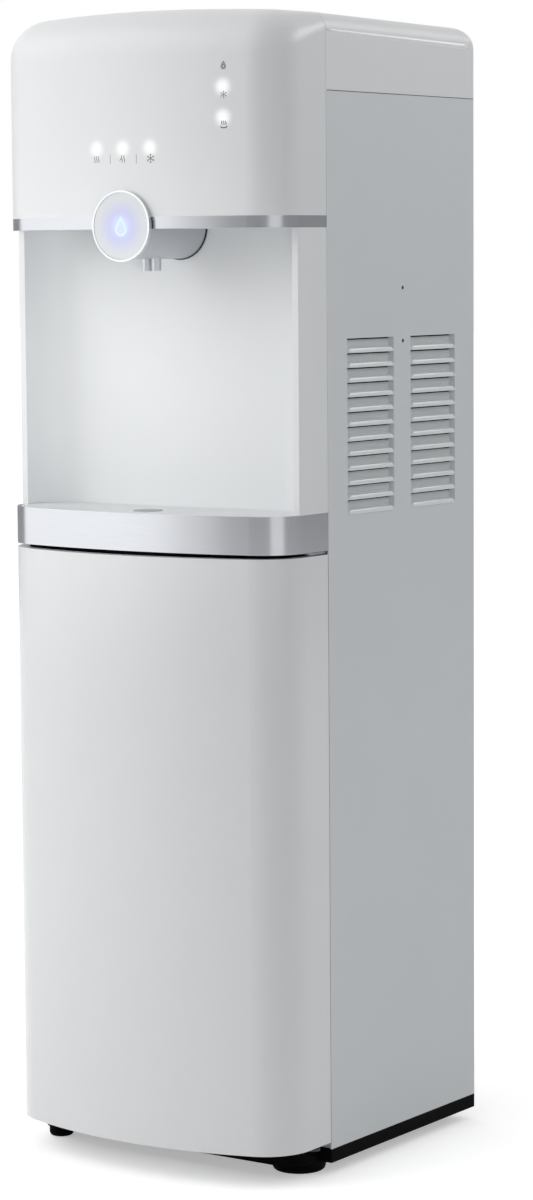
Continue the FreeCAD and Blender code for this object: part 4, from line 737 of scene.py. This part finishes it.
def addWorld(spec):
    world = bpy.data.worlds.new("studio")
    scene.world = world
    world.use_nodes = True
    tree = world.node_tree
    shader = tree.nodes["Background"]
    shader.inputs["Color"].default_value = (1, 1, 1, 1)
    coords = addNode(tree, "ShaderNodeTexCoord")
    axes = addNode(tree, "ShaderNodeSeparateXYZ", {0: coords.outputs["Generated"]})
    dome = addNode(tree, "ShaderNodeMapRange", {"Value": axes.outputs["Z"], "To Min": spec["ambient"],
                                                "To Max": spec["overhead"]})
    strength = addNode(tree, "ShaderNodeMapRange", {"Value": seenRays(tree), "To Max": 1.0,
                                                    "To Min": dome.outputs["Result"]})
    tree.links.new(strength.outputs["Result"], shader.inputs["Strength"])


# Grey cards stand on arcs round the object: first and last degree from straight ahead towards the right
cards = {"cardAhead": (-13, 45), "cardAside": (77, 165), "cardBehind": (-165, -72)}


def addCard(name, arc, spec, material):
    bm = bmesh.new()
    columns = []
    for i in range(spec["cardSteps"] + 1):
        turn = math.radians(arc[0] + (arc[1] - arc[0]) * i / spec["cardSteps"])
        x, y = spec["cardRadiusM"] * math.sin(turn), -spec["cardRadiusM"] * math.cos(turn)
        columns.append([bm.verts.new((x, y, z)) for z in (spec["cardLowM"], spec["cardHighM"])])
    for a, b in zip(columns, columns[1:]):
        bm.faces.new((a[0], b[0], b[1], a[1]))
    mesh = meshFrom(bm, name)
    mesh.materials.append(material)
    card = bpy.data.objects.new(name, mesh)
    scene.collection.objects.link(card)
    card.visible_camera = False


# The main light from the left is split: one box shows in the gloss, the other only lights
softBoxes = {
    "keyLeft": dict(place=(-1.62, -1.52, 1.6), aim=(0, -0.15, 0.85), size=(2.3, 2.9), watts=12.5,
                    reflected=True),
    "keyMatt": dict(place=(-1.50, -1.45, 1.85), aim=(0, -0.15, 1.05), size=(2.2, 1.8), watts=21,
                    reflected=False),
    "rearRight": dict(place=(1.80, 1.85, 1.95), aim=(0.1, 0, 0.7), size=(2.4, 1.0), watts=22, reflected=True),
    "nicheFill": dict(place=(0.60, -0.85, 0.78), aim=(-0.15, -0.10, 0.75), size=(0.25, 0.25), watts=0.08,
                      spread=24, reflected=False),
}


def addSoftBox(name, spec):
    data = bpy.data.lights.new(name, "AREA")
    data.shape = "RECTANGLE"
    data.size, data.size_y = spec["size"]
    data.energy = spec["watts"]
    data.spread = math.radians(spec.get("spread", 180))
    light = bpy.data.objects.new(name, data)
    light.location = spec["place"]
    light.rotation_euler = (Vector(spec["aim"]) - Vector(spec["place"])).to_track_quat("-Z", "Y").to_euler()
    light.visible_camera = False
    light.visible_glossy = spec["reflected"]
    scene.collection.objects.link(light)


addFloor(stageSpec)
addWorld(stageSpec)
cardPaper = plainMaterial("grey_card", stageSpec["card"])[0]
for name, arc in cards.items():
    addCard(name, arc, stageSpec, cardPaper)
for name, spec in softBoxes.items():
    addSoftBox(name, spec)
print("camera and studio set")
